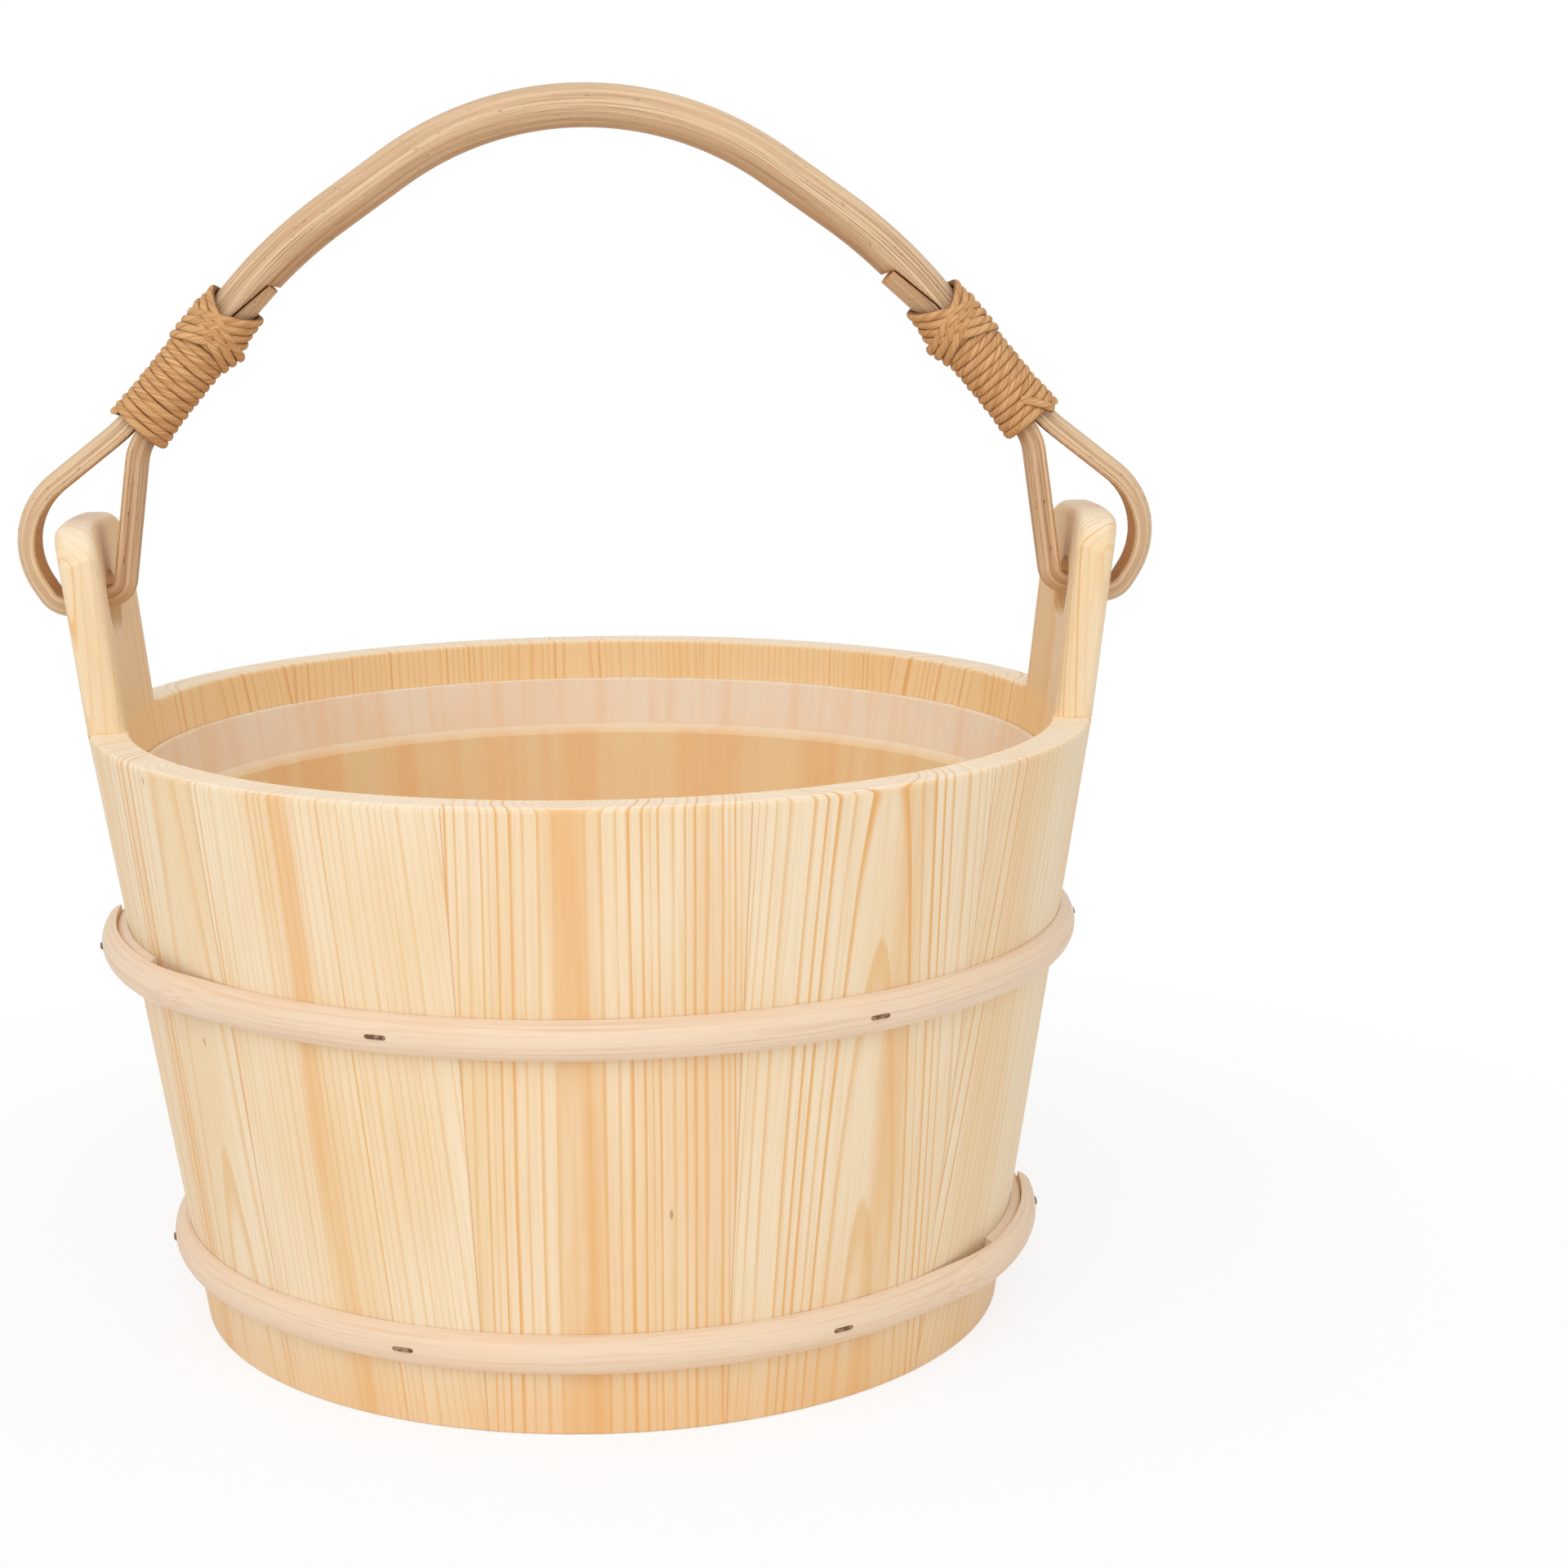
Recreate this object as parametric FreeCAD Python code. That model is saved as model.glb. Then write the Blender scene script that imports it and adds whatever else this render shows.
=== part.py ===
import FreeCAD, Part
import math
import os

Vector = FreeCAD.Vector

# A two-eared stave pail with a cane bail, in millimetres and degrees.
# The origin is the centre of the foot, +Z is up, the ears stand on the X axis and the front is -Y.

# Staves: a tapering wall of plain staves, five in front and five behind, between two ear staves
rim_radius = 130.0
foot_radius = 106.1
pail_height = 157.5
wall = 10.0
plain_staves_per_side = 5
ear_angle = 25.0
rim_easing = 1.3
foot_easing = 1.0

# Ears: the part of each ear stave that stands above the rim
ear_rise = 51.5
ear_lean = 6.0
ear_corner_radius = 14.0
ear_outer_easing = 3.2
ear_inner_easing = 3.2
hole_rise = 29.5
hole_diameter = 18.0

# Bottom: edge-jointed boards held in a groove round the inside of the staves
board_count = 4
board_thickness = 8.0
board_rise = 12.0
groove_depth = 3.0
board_clearance = 0.1

# Hoops: two split canes, each bent round the staves and lapped over its own end
hoop_height = 10.0
hoop_proud = 4.5
hoop_clearance = 0.1
upper_hoop_rise = 102.2
lower_hoop_rise = 22.0
lap_lift = 2.7
lap_clearance = 0.15
lap_start_angle = 62.0
lap_angle = 28.0
lap_climb_angle = 18.0
lap_end_gap_angle = 1.0

# Staples: bent wires pressed through the hoops into the staves
staple_wire = 1.0
staple_crown = 5.0
staple_leg = 9.0
staple_bend = 0.9
staple_fit = 0.05
staple_count = 6
staple_step_angle = 55.0
upper_staple_angle = 79.0
lower_staple_angle = 85.0

# Liner: a thin plastic bucket with a wider collar, loose inside the staves
liner_wall = 1.4
liner_floor = 1.6
liner_gap = 0.4
liner_seat = 0.2
liner_below_rim = 11.0
collar_height = 13.5
collar_step = 1.6
collar_slope = 2.5
liner_corner = 7.0
liner_lip_easing = 0.5

# Bail: one cane, halved at both ends, each half bent through an ear and lashed back on itself
# The inset of each bend is a share of the span to the crotch, its rise and the apex's of the crown's rise
cane_radius = 5.6
bail_rise = 103.0
crotch_inset = 7.4
crotch_rise = 21.5
bend_inset_share = 0.329
bend_rise_share = 0.558
apex_rise_share = 1.228
bend_radius = 130.0
half_gap = 0.2
strand_clearance = 0.5
strand_bend_radius = 50.0
loop_radius = 16.8
loop_return_slope = 58.4
loop_outer_gap = 2.4
loop_outer_rise = 1.8
loop_outer_radius = 3.7
loop_inner_gap = 0.9
loop_inner_rise = 5.2
loop_inner_radius = 2.0
inner_strand_lean = 8.0
inner_bend_radius = 17.0
scarf_root = 30.0
tongue_root = 28.0
tongue_length = 51.7
tongue_clearance = 0.4
left_tongue_tip = 1.8
right_tongue_tip = 3.6

# Lashings: one twine each, a close layer of turns and a steeper crossing layer over its upper end
twine_radius = 0.9
twine_gap = 0.5
lashing_clearance = 0.25
lashing_start = 2.2
close_turns = 12
crossing_turns = 2
crossing_pitch = 4.6
reversal_turns = 0.5
steps_per_turn = 4
tangent_turns = 0.0001
gap_samples_per_arc = 7

# One overrun serves every cut, and two tangents closer to parallel than this limit join in equal arcs
overrun = 20.0
straight_limit = 1e-9

ear_outer_top = rim_radius + ear_lean
ear_top = pail_height + ear_rise
pivot_height = pail_height + hole_rise
crown_height = ear_top + bail_rise
stave_angle = (180.0 - ear_angle) / plain_staves_per_side
board_top = board_rise + board_thickness
liner_top = pail_height - liner_below_rim
twine_layer_radius = cane_radius + lashing_clearance + twine_radius
twine_step = 2 * twine_radius + twine_gap


def outer_radius(height):
    """Radius of the staves' outer face at a height."""
    return foot_radius + (rim_radius - foot_radius) * height / pail_height


def inner_radius(height):
    """Radius of the staves' inner face at a height."""
    return outer_radius(height) - wall


def ear_outer_radius(height):
    """Radius of an ear's outer face at a height."""
    return rim_radius + ear_lean * (height - pail_height) / ear_rise


groove_radius = inner_radius(board_rise + board_thickness / 2) + groove_depth
ear_half_width = ear_outer_top * math.sin(math.radians(ear_angle / 2))
ear_outer_at_hole = ear_outer_radius(pivot_height)
ear_inner_at_hole = ear_outer_at_hole - wall


def corner_points(before, corner, after, radius):
    """Start, middle and end of the arc that rounds a corner."""
    back = (before - corner).normalize()
    ahead = (after - corner).normalize()
    half = back.getAngle(ahead) / 2
    reach = radius / math.tan(half)
    bisector = (back + ahead).normalize()
    centre = corner + bisector * (radius / math.sin(half))
    return corner + back * reach, centre - bisector * radius, corner + ahead * reach


def rounded_edges(points, radii, closed):
    """Straight edges between points, with an arc of the given radius at each one."""
    count = len(points)
    edges = []
    arcs = []
    for index, point in enumerate(points):
        is_end = not closed and index in (0, count - 1)
        if is_end or radii[index] <= 0:
            arcs.append((point, None, point))
        else:
            before = points[index - 1]
            after = points[(index + 1) % count]
            arcs.append(corner_points(before, point, after, radii[index]))
    for index, (start, middle, end) in enumerate(arcs):
        if middle is not None:
            edges.append(Part.Arc(start, middle, end).toShape())
        if closed or index < count - 1:
            following = arcs[(index + 1) % count][0]
            edges.append(Part.LineSegment(end, following).toShape())
    return edges


def profile_face(points, radii):
    """A face in the XZ plane from (radius, height) points with rounded corners."""
    corners = [Vector(radius, 0, height) for radius, height in points]
    return Part.Face(Part.Wire(rounded_edges(corners, radii, True)))


def turned(face, start_angle, angle):
    """Turn a profile about the pail's axis from one angle on."""
    solid = face.revolve(Vector(0, 0, 0), Vector(0, 0, 1), angle)
    solid.rotate(Vector(0, 0, 0), Vector(0, 0, 1), start_angle)
    return solid


def swept(profile, edges, across=None):
    """Sweep a closed profile along edges, which lie in the plane square to across if it is given."""
    pipe = Part.BRepOffsetAPI.MakePipeShell(Part.Wire(edges))
    if across:
        pipe.setBiNormalMode(across)
    pipe.add(profile, False, False)
    pipe.build()
    pipe.makeSolid()
    return pipe.shape()


def circle_wire(centre, direction, radius):
    """A round section."""
    return Part.Wire(Part.Circle(centre, direction, radius).toShape())


# Staves and ears

def stave_groove():
    """The groove's corners on a stave's inner face, from the top down."""
    return [
        (inner_radius(board_top), board_top),
        (groove_radius, board_top),
        (groove_radius, board_rise),
        (inner_radius(board_rise), board_rise),
    ]


def plain_stave(start_angle):
    """A stave that ends at the rim."""
    points = [
        (foot_radius - wall, 0),
        (foot_radius, 0),
        (rim_radius, pail_height),
        (rim_radius - wall, pail_height),
    ]
    radii = [foot_easing, foot_easing, rim_easing, rim_easing, 0, 0, 0, 0]
    return turned(profile_face(points + stave_groove(), radii), start_angle, stave_angle)


def ear_stave():
    """The right ear stave: a stave, and over it the ear with its rounded corners and its hole."""
    points = [
        (foot_radius - wall, 0),
        (foot_radius, 0),
        (rim_radius, pail_height),
        (rim_radius - wall, pail_height),
    ]
    radii = [foot_easing, foot_easing, 0, 0, 0, 0, 0, 0]
    stave = turned(profile_face(points + stave_groove(), radii), -ear_angle / 2, ear_angle)
    return stave.fuse(ear()).removeSplitter()


def ear():
    """The ear above the rim."""
    points = [
        (rim_radius - wall, pail_height),
        (rim_radius, pail_height),
        (ear_outer_top, ear_top),
        (ear_outer_top - wall, ear_top),
    ]
    block = turned(profile_face(points, [0, 0, 0, 0]), -ear_angle / 2, ear_angle)
    block = block.common(ear_outline())
    block = block.makeFillet(ear_outer_easing, ear_edges(block, True))
    block = block.makeFillet(ear_inner_easing, ear_edges(block, False))
    hole = Part.makeCylinder(
        hole_diameter / 2, ear_outer_top + overrun, Vector(0, 0, pivot_height), Vector(1, 0, 0))
    return block.cut(hole)


def ear_outline():
    """A bar along X with the ear's outline, its top corners rounded."""
    corners = [
        Vector(0, -ear_half_width, pail_height),
        Vector(0, ear_half_width, pail_height),
        Vector(0, ear_half_width, ear_top),
        Vector(0, -ear_half_width, ear_top),
    ]
    edges = rounded_edges(corners, [0, 0, ear_corner_radius, ear_corner_radius], True)
    return Part.Face(Part.Wire(edges)).extrude(Vector(ear_outer_top + overrun, 0, 0))


def ear_edges(block, outer):
    """The edges round the ear's outer or inner face, but for those at the rim."""
    chosen = []
    for edge in block.Edges:
        if edge.BoundBox.ZMax > pail_height + rim_easing and on_face(edge, outer):
            chosen.append(edge)
    return chosen


def on_face(edge, outer):
    """Whether an edge's ends lie on the ear's outer, or inner, face."""
    for vertex in edge.Vertexes:
        inset = ear_outer_radius(vertex.Z) - math.hypot(vertex.X, vertex.Y)
        if (inset < wall / 2) != outer:
            return False
    return True


# Bottom boards

def bottom_boards():
    """The disc in the groove, sawn into boards that run along X."""
    radius = groove_radius - board_clearance
    disc = Part.makeCylinder(radius, board_thickness - board_clearance, Vector(0, 0, board_rise))
    width = 2 * radius / board_count
    boards = []
    for index in range(board_count):
        corner = Vector(-radius - overrun, index * width - radius, 0)
        strip = Part.makeBox(2 * (radius + overrun), width, board_top + overrun, corner)
        boards.append(disc.common(strip))
    return boards


# Hoops and staples

def hoop_section(rise):
    """The half-round section of a hoop, flat against the staves, at angle zero."""
    low = rise - hoop_height / 2
    high = rise + hoop_height / 2
    bottom = Vector(outer_radius(low) + hoop_clearance, 0, low)
    top = Vector(outer_radius(high) + hoop_clearance, 0, high)
    apex = Vector(outer_radius(rise) + hoop_clearance + hoop_proud, 0, rise)
    return Part.Wire([Part.Arc(bottom, apex, top).toShape(), Part.LineSegment(top, bottom).toShape()])


def ring_point(radius, angle, height):
    """A point on a level ring about the pail's axis."""
    turn = math.radians(angle)
    return Vector(radius * math.cos(turn), radius * math.sin(turn), height)


def ring_tangent(angle):
    """The direction of a level ring at an angle."""
    turn = math.radians(angle)
    return Vector(-math.sin(turn), math.cos(turn), 0)


def ring_arc(radius, start, end, height):
    """An arc of a level ring."""
    return Part.Arc(
        ring_point(radius, start, height),
        ring_point(radius, (start + end) / 2, height),
        ring_point(radius, end, height)).toShape()


def hoop_strip(rise):
    """The hoop's run from its inner end to the climb."""
    section = Part.Face(hoop_section(rise))
    strip = section.revolve(Vector(0, 0, 0), Vector(0, 0, 1), 360.0 - lap_climb_angle)
    low = rise - hoop_height
    high = rise + hoop_height
    inner = hoop_clearance + lap_lift
    points = [
        (outer_radius(low) + inner, low),
        (outer_radius(low) + inner + overrun, low),
        (outer_radius(high) + inner + overrun, high),
        (outer_radius(high) + inner, high),
    ]
    end = turned(
        profile_face(points, [0, 0, 0, 0]), -lap_end_gap_angle, lap_angle + 2 * lap_end_gap_angle)
    return strip.cut(end)


def hoop_lap(rise):
    """The hoop's run up the climb and over its inner end."""
    radius = outer_radius(rise) + hoop_clearance
    lifted = radius + lap_lift + lap_clearance
    climb = -lap_climb_angle
    path = biarc(
        ring_point(radius, climb, rise), ring_tangent(climb),
        ring_point(lifted, 0, rise), ring_tangent(0))
    path.append(ring_arc(lifted, 0, lap_angle, rise))
    section = hoop_section(rise)
    section.rotate(Vector(0, 0, 0), Vector(0, 0, 1), climb)
    return swept(section, path, Vector(0, 0, 1))


def staple(rise, angle, wire_radius):
    """A staple with its crown pressed level into the hoop and its legs pointing at the axis."""
    in_lap = lap_start_angle <= angle <= lap_start_angle + lap_angle
    lift = lap_lift + lap_clearance if in_lap else 0
    crown_radius_here = outer_radius(rise) + hoop_clearance + hoop_proud + lift
    half = staple_crown / 2
    corners = [
        Vector(crown_radius_here - staple_leg, -half, rise),
        Vector(crown_radius_here, -half, rise),
        Vector(crown_radius_here, half, rise),
        Vector(crown_radius_here - staple_leg, half, rise),
    ]
    edges = rounded_edges(corners, [0, staple_bend, staple_bend, 0], False)
    wire = swept(circle_wire(corners[0], Vector(1, 0, 0), wire_radius), edges, Vector(0, 0, 1))
    wire.rotate(Vector(0, 0, 0), Vector(0, 0, 1), angle - 90.0)
    return wire


def staples(rise, first_angle, wire_radius):
    """All staples of a hoop that laps on the right."""
    angles = [first_angle - index * staple_step_angle for index in range(staple_count)]
    return [staple(rise, angle, wire_radius) for angle in angles]


def placed_hoop(rise):
    """A hoop that laps on the right, with its inner end just behind the front."""
    joined = hoop_strip(rise).fuse(hoop_lap(rise)).removeSplitter()
    joined.rotate(Vector(0, 0, 0), Vector(0, 0, 1), lap_start_angle - 90.0)
    return joined


def mirrored(shape):
    """The shape on the other side of the pail."""
    return shape.mirror(Vector(0, 0, 0), Vector(1, 0, 0))


# Liner

def liner():
    """The plastic liner, turned in one piece."""
    seat = board_top + liner_seat
    collar_low = liner_top - collar_height
    step_low = collar_low - collar_slope
    body_gap = liner_gap + collar_step
    floor = seat + liner_floor
    points = [
        (0, seat),
        (inner_radius(seat) - body_gap, seat),
        (inner_radius(step_low) - body_gap, step_low),
        (inner_radius(collar_low) - liner_gap, collar_low),
        (inner_radius(liner_top) - liner_gap, liner_top),
        (inner_radius(liner_top) - liner_gap - liner_wall, liner_top),
        (inner_radius(collar_low) - liner_gap - liner_wall, collar_low),
        (inner_radius(step_low) - body_gap - liner_wall, step_low),
        (inner_radius(floor) - body_gap - liner_wall, floor),
        (0, floor),
    ]
    inner_corner = liner_corner - liner_wall
    radii = [0, liner_corner, 0, 0, liner_lip_easing, liner_lip_easing, 0, 0, inner_corner, 0]
    return profile_face(points, radii).revolve(Vector(0, 0, 0), Vector(0, 0, 1), 360.0)


# Bail

def in_plane(x, z):
    """A point of the bail's plane."""
    return Vector(x, 0, z)


def crotch():
    """Where the two halves of the right end meet below the lashing."""
    return in_plane(ear_inner_at_hole - crotch_inset, ear_top + crotch_rise)


def bend():
    """Where the right end of the cane bends over towards the crown."""
    low = crotch()
    rise = crown_height - low.z
    return in_plane(low.x * (1 - bend_inset_share), low.z + rise * bend_rise_share)


def lashing_axis():
    """The direction up the right lashing."""
    return (bend() - crotch()).normalize()


def along_lashing(distance):
    """A point on the right lashing's axis above the crotch."""
    return crotch() + lashing_axis() * distance


def meeting_point(first, first_direction, second, second_direction):
    """Where two lines of the bail's plane meet."""
    gap = second - first
    cross = first_direction.x * second_direction.z - first_direction.z * second_direction.x
    distance = (gap.x * second_direction.z - gap.z * second_direction.x) / cross
    return first + first_direction * distance


def crown_apex():
    """Where the straight shoulders from both bends would meet."""
    low = crotch()
    return in_plane(0, low.z + (crown_height - low.z) * apex_rise_share)


def crown_radius():
    """Radius of the arc that touches both shoulders and reaches the crown's height."""
    shoulder = crown_apex() - bend()
    cosine = abs(shoulder.x) / shoulder.Length
    return (crown_apex().z - crown_height) * cosine / (1 - cosine)


def swept_corner():
    """Centre of the easing at the ear's farthest corner, where it passes through the turning bail."""
    run = ear_half_width - ear_corner_radius
    rise = ear_top - ear_corner_radius - pivot_height
    reach = math.hypot(run, rise)
    farther = (reach + ear_corner_radius - ear_outer_easing) / reach
    radius = ear_outer_radius(pivot_height + rise * farther) - ear_outer_easing
    return in_plane(math.sqrt(radius ** 2 - (run * farther) ** 2), pivot_height + reach * farther)


def outer_strand_direction():
    """The direction from the crotch past the ear's farthest corner."""
    reach = swept_corner() - crotch()
    offset = ear_outer_easing + strand_clearance + half_gap
    angle = math.atan2(reach.z, reach.x) + math.asin(offset / reach.Length)
    return in_plane(math.cos(angle), math.sin(angle))


def loop_points():
    """The right end's halved cane, from the crotch out, through the ear and back."""
    return_slope = math.radians(loop_return_slope)
    return_direction = in_plane(math.cos(return_slope), math.sin(return_slope))
    outer_low = in_plane(ear_outer_at_hole + loop_outer_gap, pivot_height + loop_outer_rise)
    outer_high = meeting_point(crotch(), outer_strand_direction(), outer_low, return_direction)
    inner_low = in_plane(ear_inner_at_hole - loop_inner_gap, pivot_height + loop_inner_rise)
    lean = math.radians(inner_strand_lean)
    inner_direction = in_plane(-math.sin(lean), math.cos(lean))
    inner_high = meeting_point(inner_low, inner_direction, crotch(), lashing_axis())
    return [crotch(), outer_high, outer_low, inner_low, inner_high]


def half_section(centre, outward):
    """The section of the halved cane, its round side facing outward."""
    half_width = math.sqrt(cane_radius ** 2 - half_gap ** 2)
    across = Vector(0, half_width, 0)
    flat = centre + outward * half_gap
    apex = centre + outward * cane_radius
    arc = Part.Arc(flat - across, apex, flat + across).toShape()
    return Part.Wire([arc, Part.LineSegment(flat + across, flat - across).toShape()])


def lashing_normal():
    """The direction square to the right lashing, away from the pail's middle."""
    axis = lashing_axis()
    return in_plane(axis.z, -axis.x)


def bail_loop():
    """The right end's halved cane as one bent strand."""
    points = [along_lashing(scarf_root)] + loop_points() + [along_lashing(tongue_root)]
    radii = [
        0,
        strand_bend_radius,
        loop_radius,
        loop_outer_radius,
        loop_inner_radius,
        inner_bend_radius,
        0,
    ]
    section = half_section(points[0], lashing_normal())
    return swept(section, rounded_edges(points, radii, False), Vector(0, 1, 0))


def lashing_prism(corners):
    """A prism across the right end, from (distance up the lashing, offset outward) corners."""
    points = []
    for distance, offset in corners:
        place = along_lashing(distance) + lashing_normal() * offset
        points.append(place - Vector(0, cane_radius + overrun, 0))
    edges = rounded_edges(points, [0] * len(points), True)
    return Part.Face(Part.Wire(edges)).extrude(Vector(0, 2 * (cane_radius + overrun), 0))


def tongue(tip):
    """The bevelled end of the right half, laid back along the cane."""
    section = Part.Face(half_section(along_lashing(tongue_root), lashing_normal() * -1))
    length = tongue_length - tongue_root
    bar = section.extrude(lashing_axis() * length)
    bevel = [
        (scarf_root, -half_gap),
        (tongue_length + overrun, bevel_offset(tip, tongue_length + overrun)),
        (tongue_length + overrun, cane_radius),
        (scarf_root, cane_radius),
    ]
    return bar.cut(lashing_prism(bevel))


def bevel_offset(tip, distance):
    """Offset of the tongue's bevelled face from the lashing's axis."""
    run = (distance - scarf_root) / (tongue_length - scarf_root)
    return -half_gap - (cane_radius - half_gap - tip) * run


def scarf(tip):
    """The space that is cut from the cane for the right tongue."""
    end = tongue_length + tongue_clearance
    return lashing_prism([
        (scarf_root - tongue_clearance, half_gap),
        (scarf_root, half_gap),
        (end, bevel_offset(tip, tongue_length) + tongue_clearance),
        (end, -cane_radius - overrun),
        (scarf_root - tongue_clearance, -cane_radius - overrun),
    ])


def bail_crown():
    """The full round of the cane from scarf to scarf."""
    foot = along_lashing(scarf_root)
    left_bend = in_plane(-bend().x, bend().z)
    left_foot = in_plane(-foot.x, foot.z)
    points = [foot, bend(), crown_apex(), left_bend, left_foot]
    edges = rounded_edges(points, [0, bend_radius, crown_radius(), bend_radius, 0], False)
    return swept(circle_wire(foot, lashing_axis(), cane_radius), edges, Vector(0, 1, 0))


def bail_cane():
    """The whole cane."""
    crown = bail_crown().cut(scarf(right_tongue_tip)).cut(mirrored(scarf(left_tongue_tip)))
    right = [bail_loop(), tongue(right_tongue_tip)]
    left = [mirrored(bail_loop()), mirrored(tongue(left_tongue_tip))]
    return crown.fuse(right + left).removeSplitter()


# Lashings

def biarc(start, start_tangent, end, end_tangent):
    """Two arcs that join two points and keep both tangents."""
    gap = end - start
    both = start_tangent + end_tangent
    spread = 2 * (start_tangent.dot(end_tangent) - 1)
    lean = 2 * gap.dot(both)
    if abs(spread) < straight_limit:
        reach = gap.dot(gap) / lean
    else:
        root = math.sqrt(lean ** 2 - 4 * spread * gap.dot(gap))
        reach = (lean - root) / (2 * spread)
    first_corner = start + start_tangent * reach
    last_corner = end - end_tangent * reach
    joint = (first_corner + last_corner) / 2
    return [
        tangent_arc(start, first_corner, joint),
        tangent_arc(joint, last_corner, end),
    ]


def tangent_arc(start, corner, end):
    """The arc from start to end whose tangents meet in the corner."""
    chord_middle = (start + end) / 2
    cosine = (end - start).Length / 2 / (corner - start).Length
    middle = chord_middle + (corner - chord_middle) * (cosine / (1 + cosine))
    return Part.Arc(start, middle, end).toShape()


def blend(share):
    """A smooth step from 0 to 1."""
    held_share = min(max(share, 0), 1)
    return held_share ** 2 * (3 - 2 * held_share)


def twine_place(turns):
    """Distance up the lashing and radius of the twine after so many turns."""
    top = close_turns + crossing_turns
    distance = lashing_start + twine_step * min(turns, close_turns)
    distance += crossing_pitch * min(max(turns - close_turns, 0), crossing_turns)
    over = max(turns - top, 0)
    turning = min(over, reversal_turns)
    distance += crossing_pitch * turning * (1 - turning / reversal_turns)
    distance -= crossing_pitch * (over - turning)
    radius = twine_layer_radius + twine_step * blend(over / reversal_turns)
    return distance, radius


def twine_point(turns):
    """A point on the right lashing's twine."""
    distance, radius = twine_place(turns)
    turn = 2 * math.pi * turns
    spoke = lashing_normal() * (radius * math.cos(turn)) + Vector(0, radius * math.sin(turn), 0)
    return along_lashing(distance) + spoke


def twine_tangent(turns):
    """The direction of the right lashing's twine."""
    before = twine_point(turns - tangent_turns)
    after = twine_point(turns + tangent_turns)
    return (after - before).normalize()


def lashing():
    """The right lashing, one unbroken twine with straight ends."""
    total = close_turns + 2 * crossing_turns + reversal_turns
    count = round(total * steps_per_turn)
    places = [index / steps_per_turn for index in range(count + 1)]
    points = [twine_point(place) for place in places]
    tangents = [twine_tangent(place) for place in places]
    tail = points[0] - tangents[0] * (2 * twine_radius)
    tip = points[-1] + tangents[-1] * (2 * twine_radius)
    edges = [Part.LineSegment(tail, points[0]).toShape()]
    for index in range(count):
        edges += biarc(points[index], tangents[index], points[index + 1], tangents[index + 1])
    edges.append(Part.LineSegment(points[-1], tip).toShape())
    print("lashing: twine length %.1f mm" % sum(edge.Length for edge in edges))
    print("lashing: least gap to itself %.2f mm" % least_gap(edges))
    return swept(circle_wire(tail, tangents[0], twine_radius), edges)


def least_gap(edges):
    """The least clear distance between two stretches of the twine that aren't neighbours."""
    points = []
    for edge in edges:
        points += edge.discretize(gap_samples_per_arc)[:-1]
    stride = (points[1] - points[0]).Length
    neighbours = 1 + int(4 * twine_radius / stride)
    distances = []
    for index, point in enumerate(points):
        distances += [(other - point).Length for other in points[index + neighbours:]]
    return min(distances) - 2 * twine_radius


# Assembly

def cut_by_all(shape, tools):
    """The shape with every tool that reaches it cut away."""
    reached = [tool for tool in tools if tool.BoundBox.intersect(shape.BoundBox)]
    return shape.cut(reached) if reached else shape


def build():
    """All pieces by name."""
    pieces = {}
    bores = [mirrored(tool) for tool in staples(
        upper_hoop_rise, upper_staple_angle, staple_wire / 2 + staple_fit)]
    bores += staples(lower_hoop_rise, lower_staple_angle, staple_wire / 2 + staple_fit)
    front_start = 180.0 + ear_angle / 2
    for index in range(plain_staves_per_side):
        name = "stave_%02d" % (index + 1)
        pieces[name] = cut_by_all(plain_stave(front_start + index * stave_angle), bores)
    back_start = ear_angle / 2
    for index in range(plain_staves_per_side):
        name = "stave_%02d" % (plain_staves_per_side + index + 1)
        pieces[name] = cut_by_all(plain_stave(back_start + index * stave_angle), bores)
    right_ear = ear_stave()
    pieces["ear_stave_right"] = cut_by_all(right_ear, bores)
    pieces["ear_stave_left"] = cut_by_all(mirrored(right_ear), bores)
    for index, board in enumerate(bottom_boards()):
        pieces["bottom_board_%d" % (index + 1)] = board
    pieces["hoop_upper"] = cut_by_all(mirrored(placed_hoop(upper_hoop_rise)), bores)
    pieces["hoop_lower"] = cut_by_all(placed_hoop(lower_hoop_rise), bores)
    upper = [mirrored(wire) for wire in staples(upper_hoop_rise, upper_staple_angle, staple_wire / 2)]
    pieces["hoop_staples_upper"] = Part.makeCompound(upper)
    lower = staples(lower_hoop_rise, lower_staple_angle, staple_wire / 2)
    pieces["hoop_staples_lower"] = Part.makeCompound(lower)
    pieces["liner"] = liner()
    pieces["bail_cane"] = bail_cane()
    pieces["lashing_right"] = lashing()
    pieces["lashing_left"] = mirrored(pieces["lashing_right"])
    return pieces


def main():
    os.makedirs("parts", exist_ok=True)
    for name, shape in build().items():
        box = shape.BoundBox
        print("%-20s solids %d valid %s volume %.0f  z %.1f to %.1f" % (
            name, len(shape.Solids), shape.isValid(), shape.Volume, box.ZMin, box.ZMax))
        shape.exportStep("parts/" + name + ".step")


main()
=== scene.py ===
"""A two-eared stave pail with a cane bail, twine lashings, cane hoops and a plastic liner."""
import math
from typing import NamedTuple

import bmesh
import bpy
from mathutils import Matrix, Vector, noise


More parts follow.
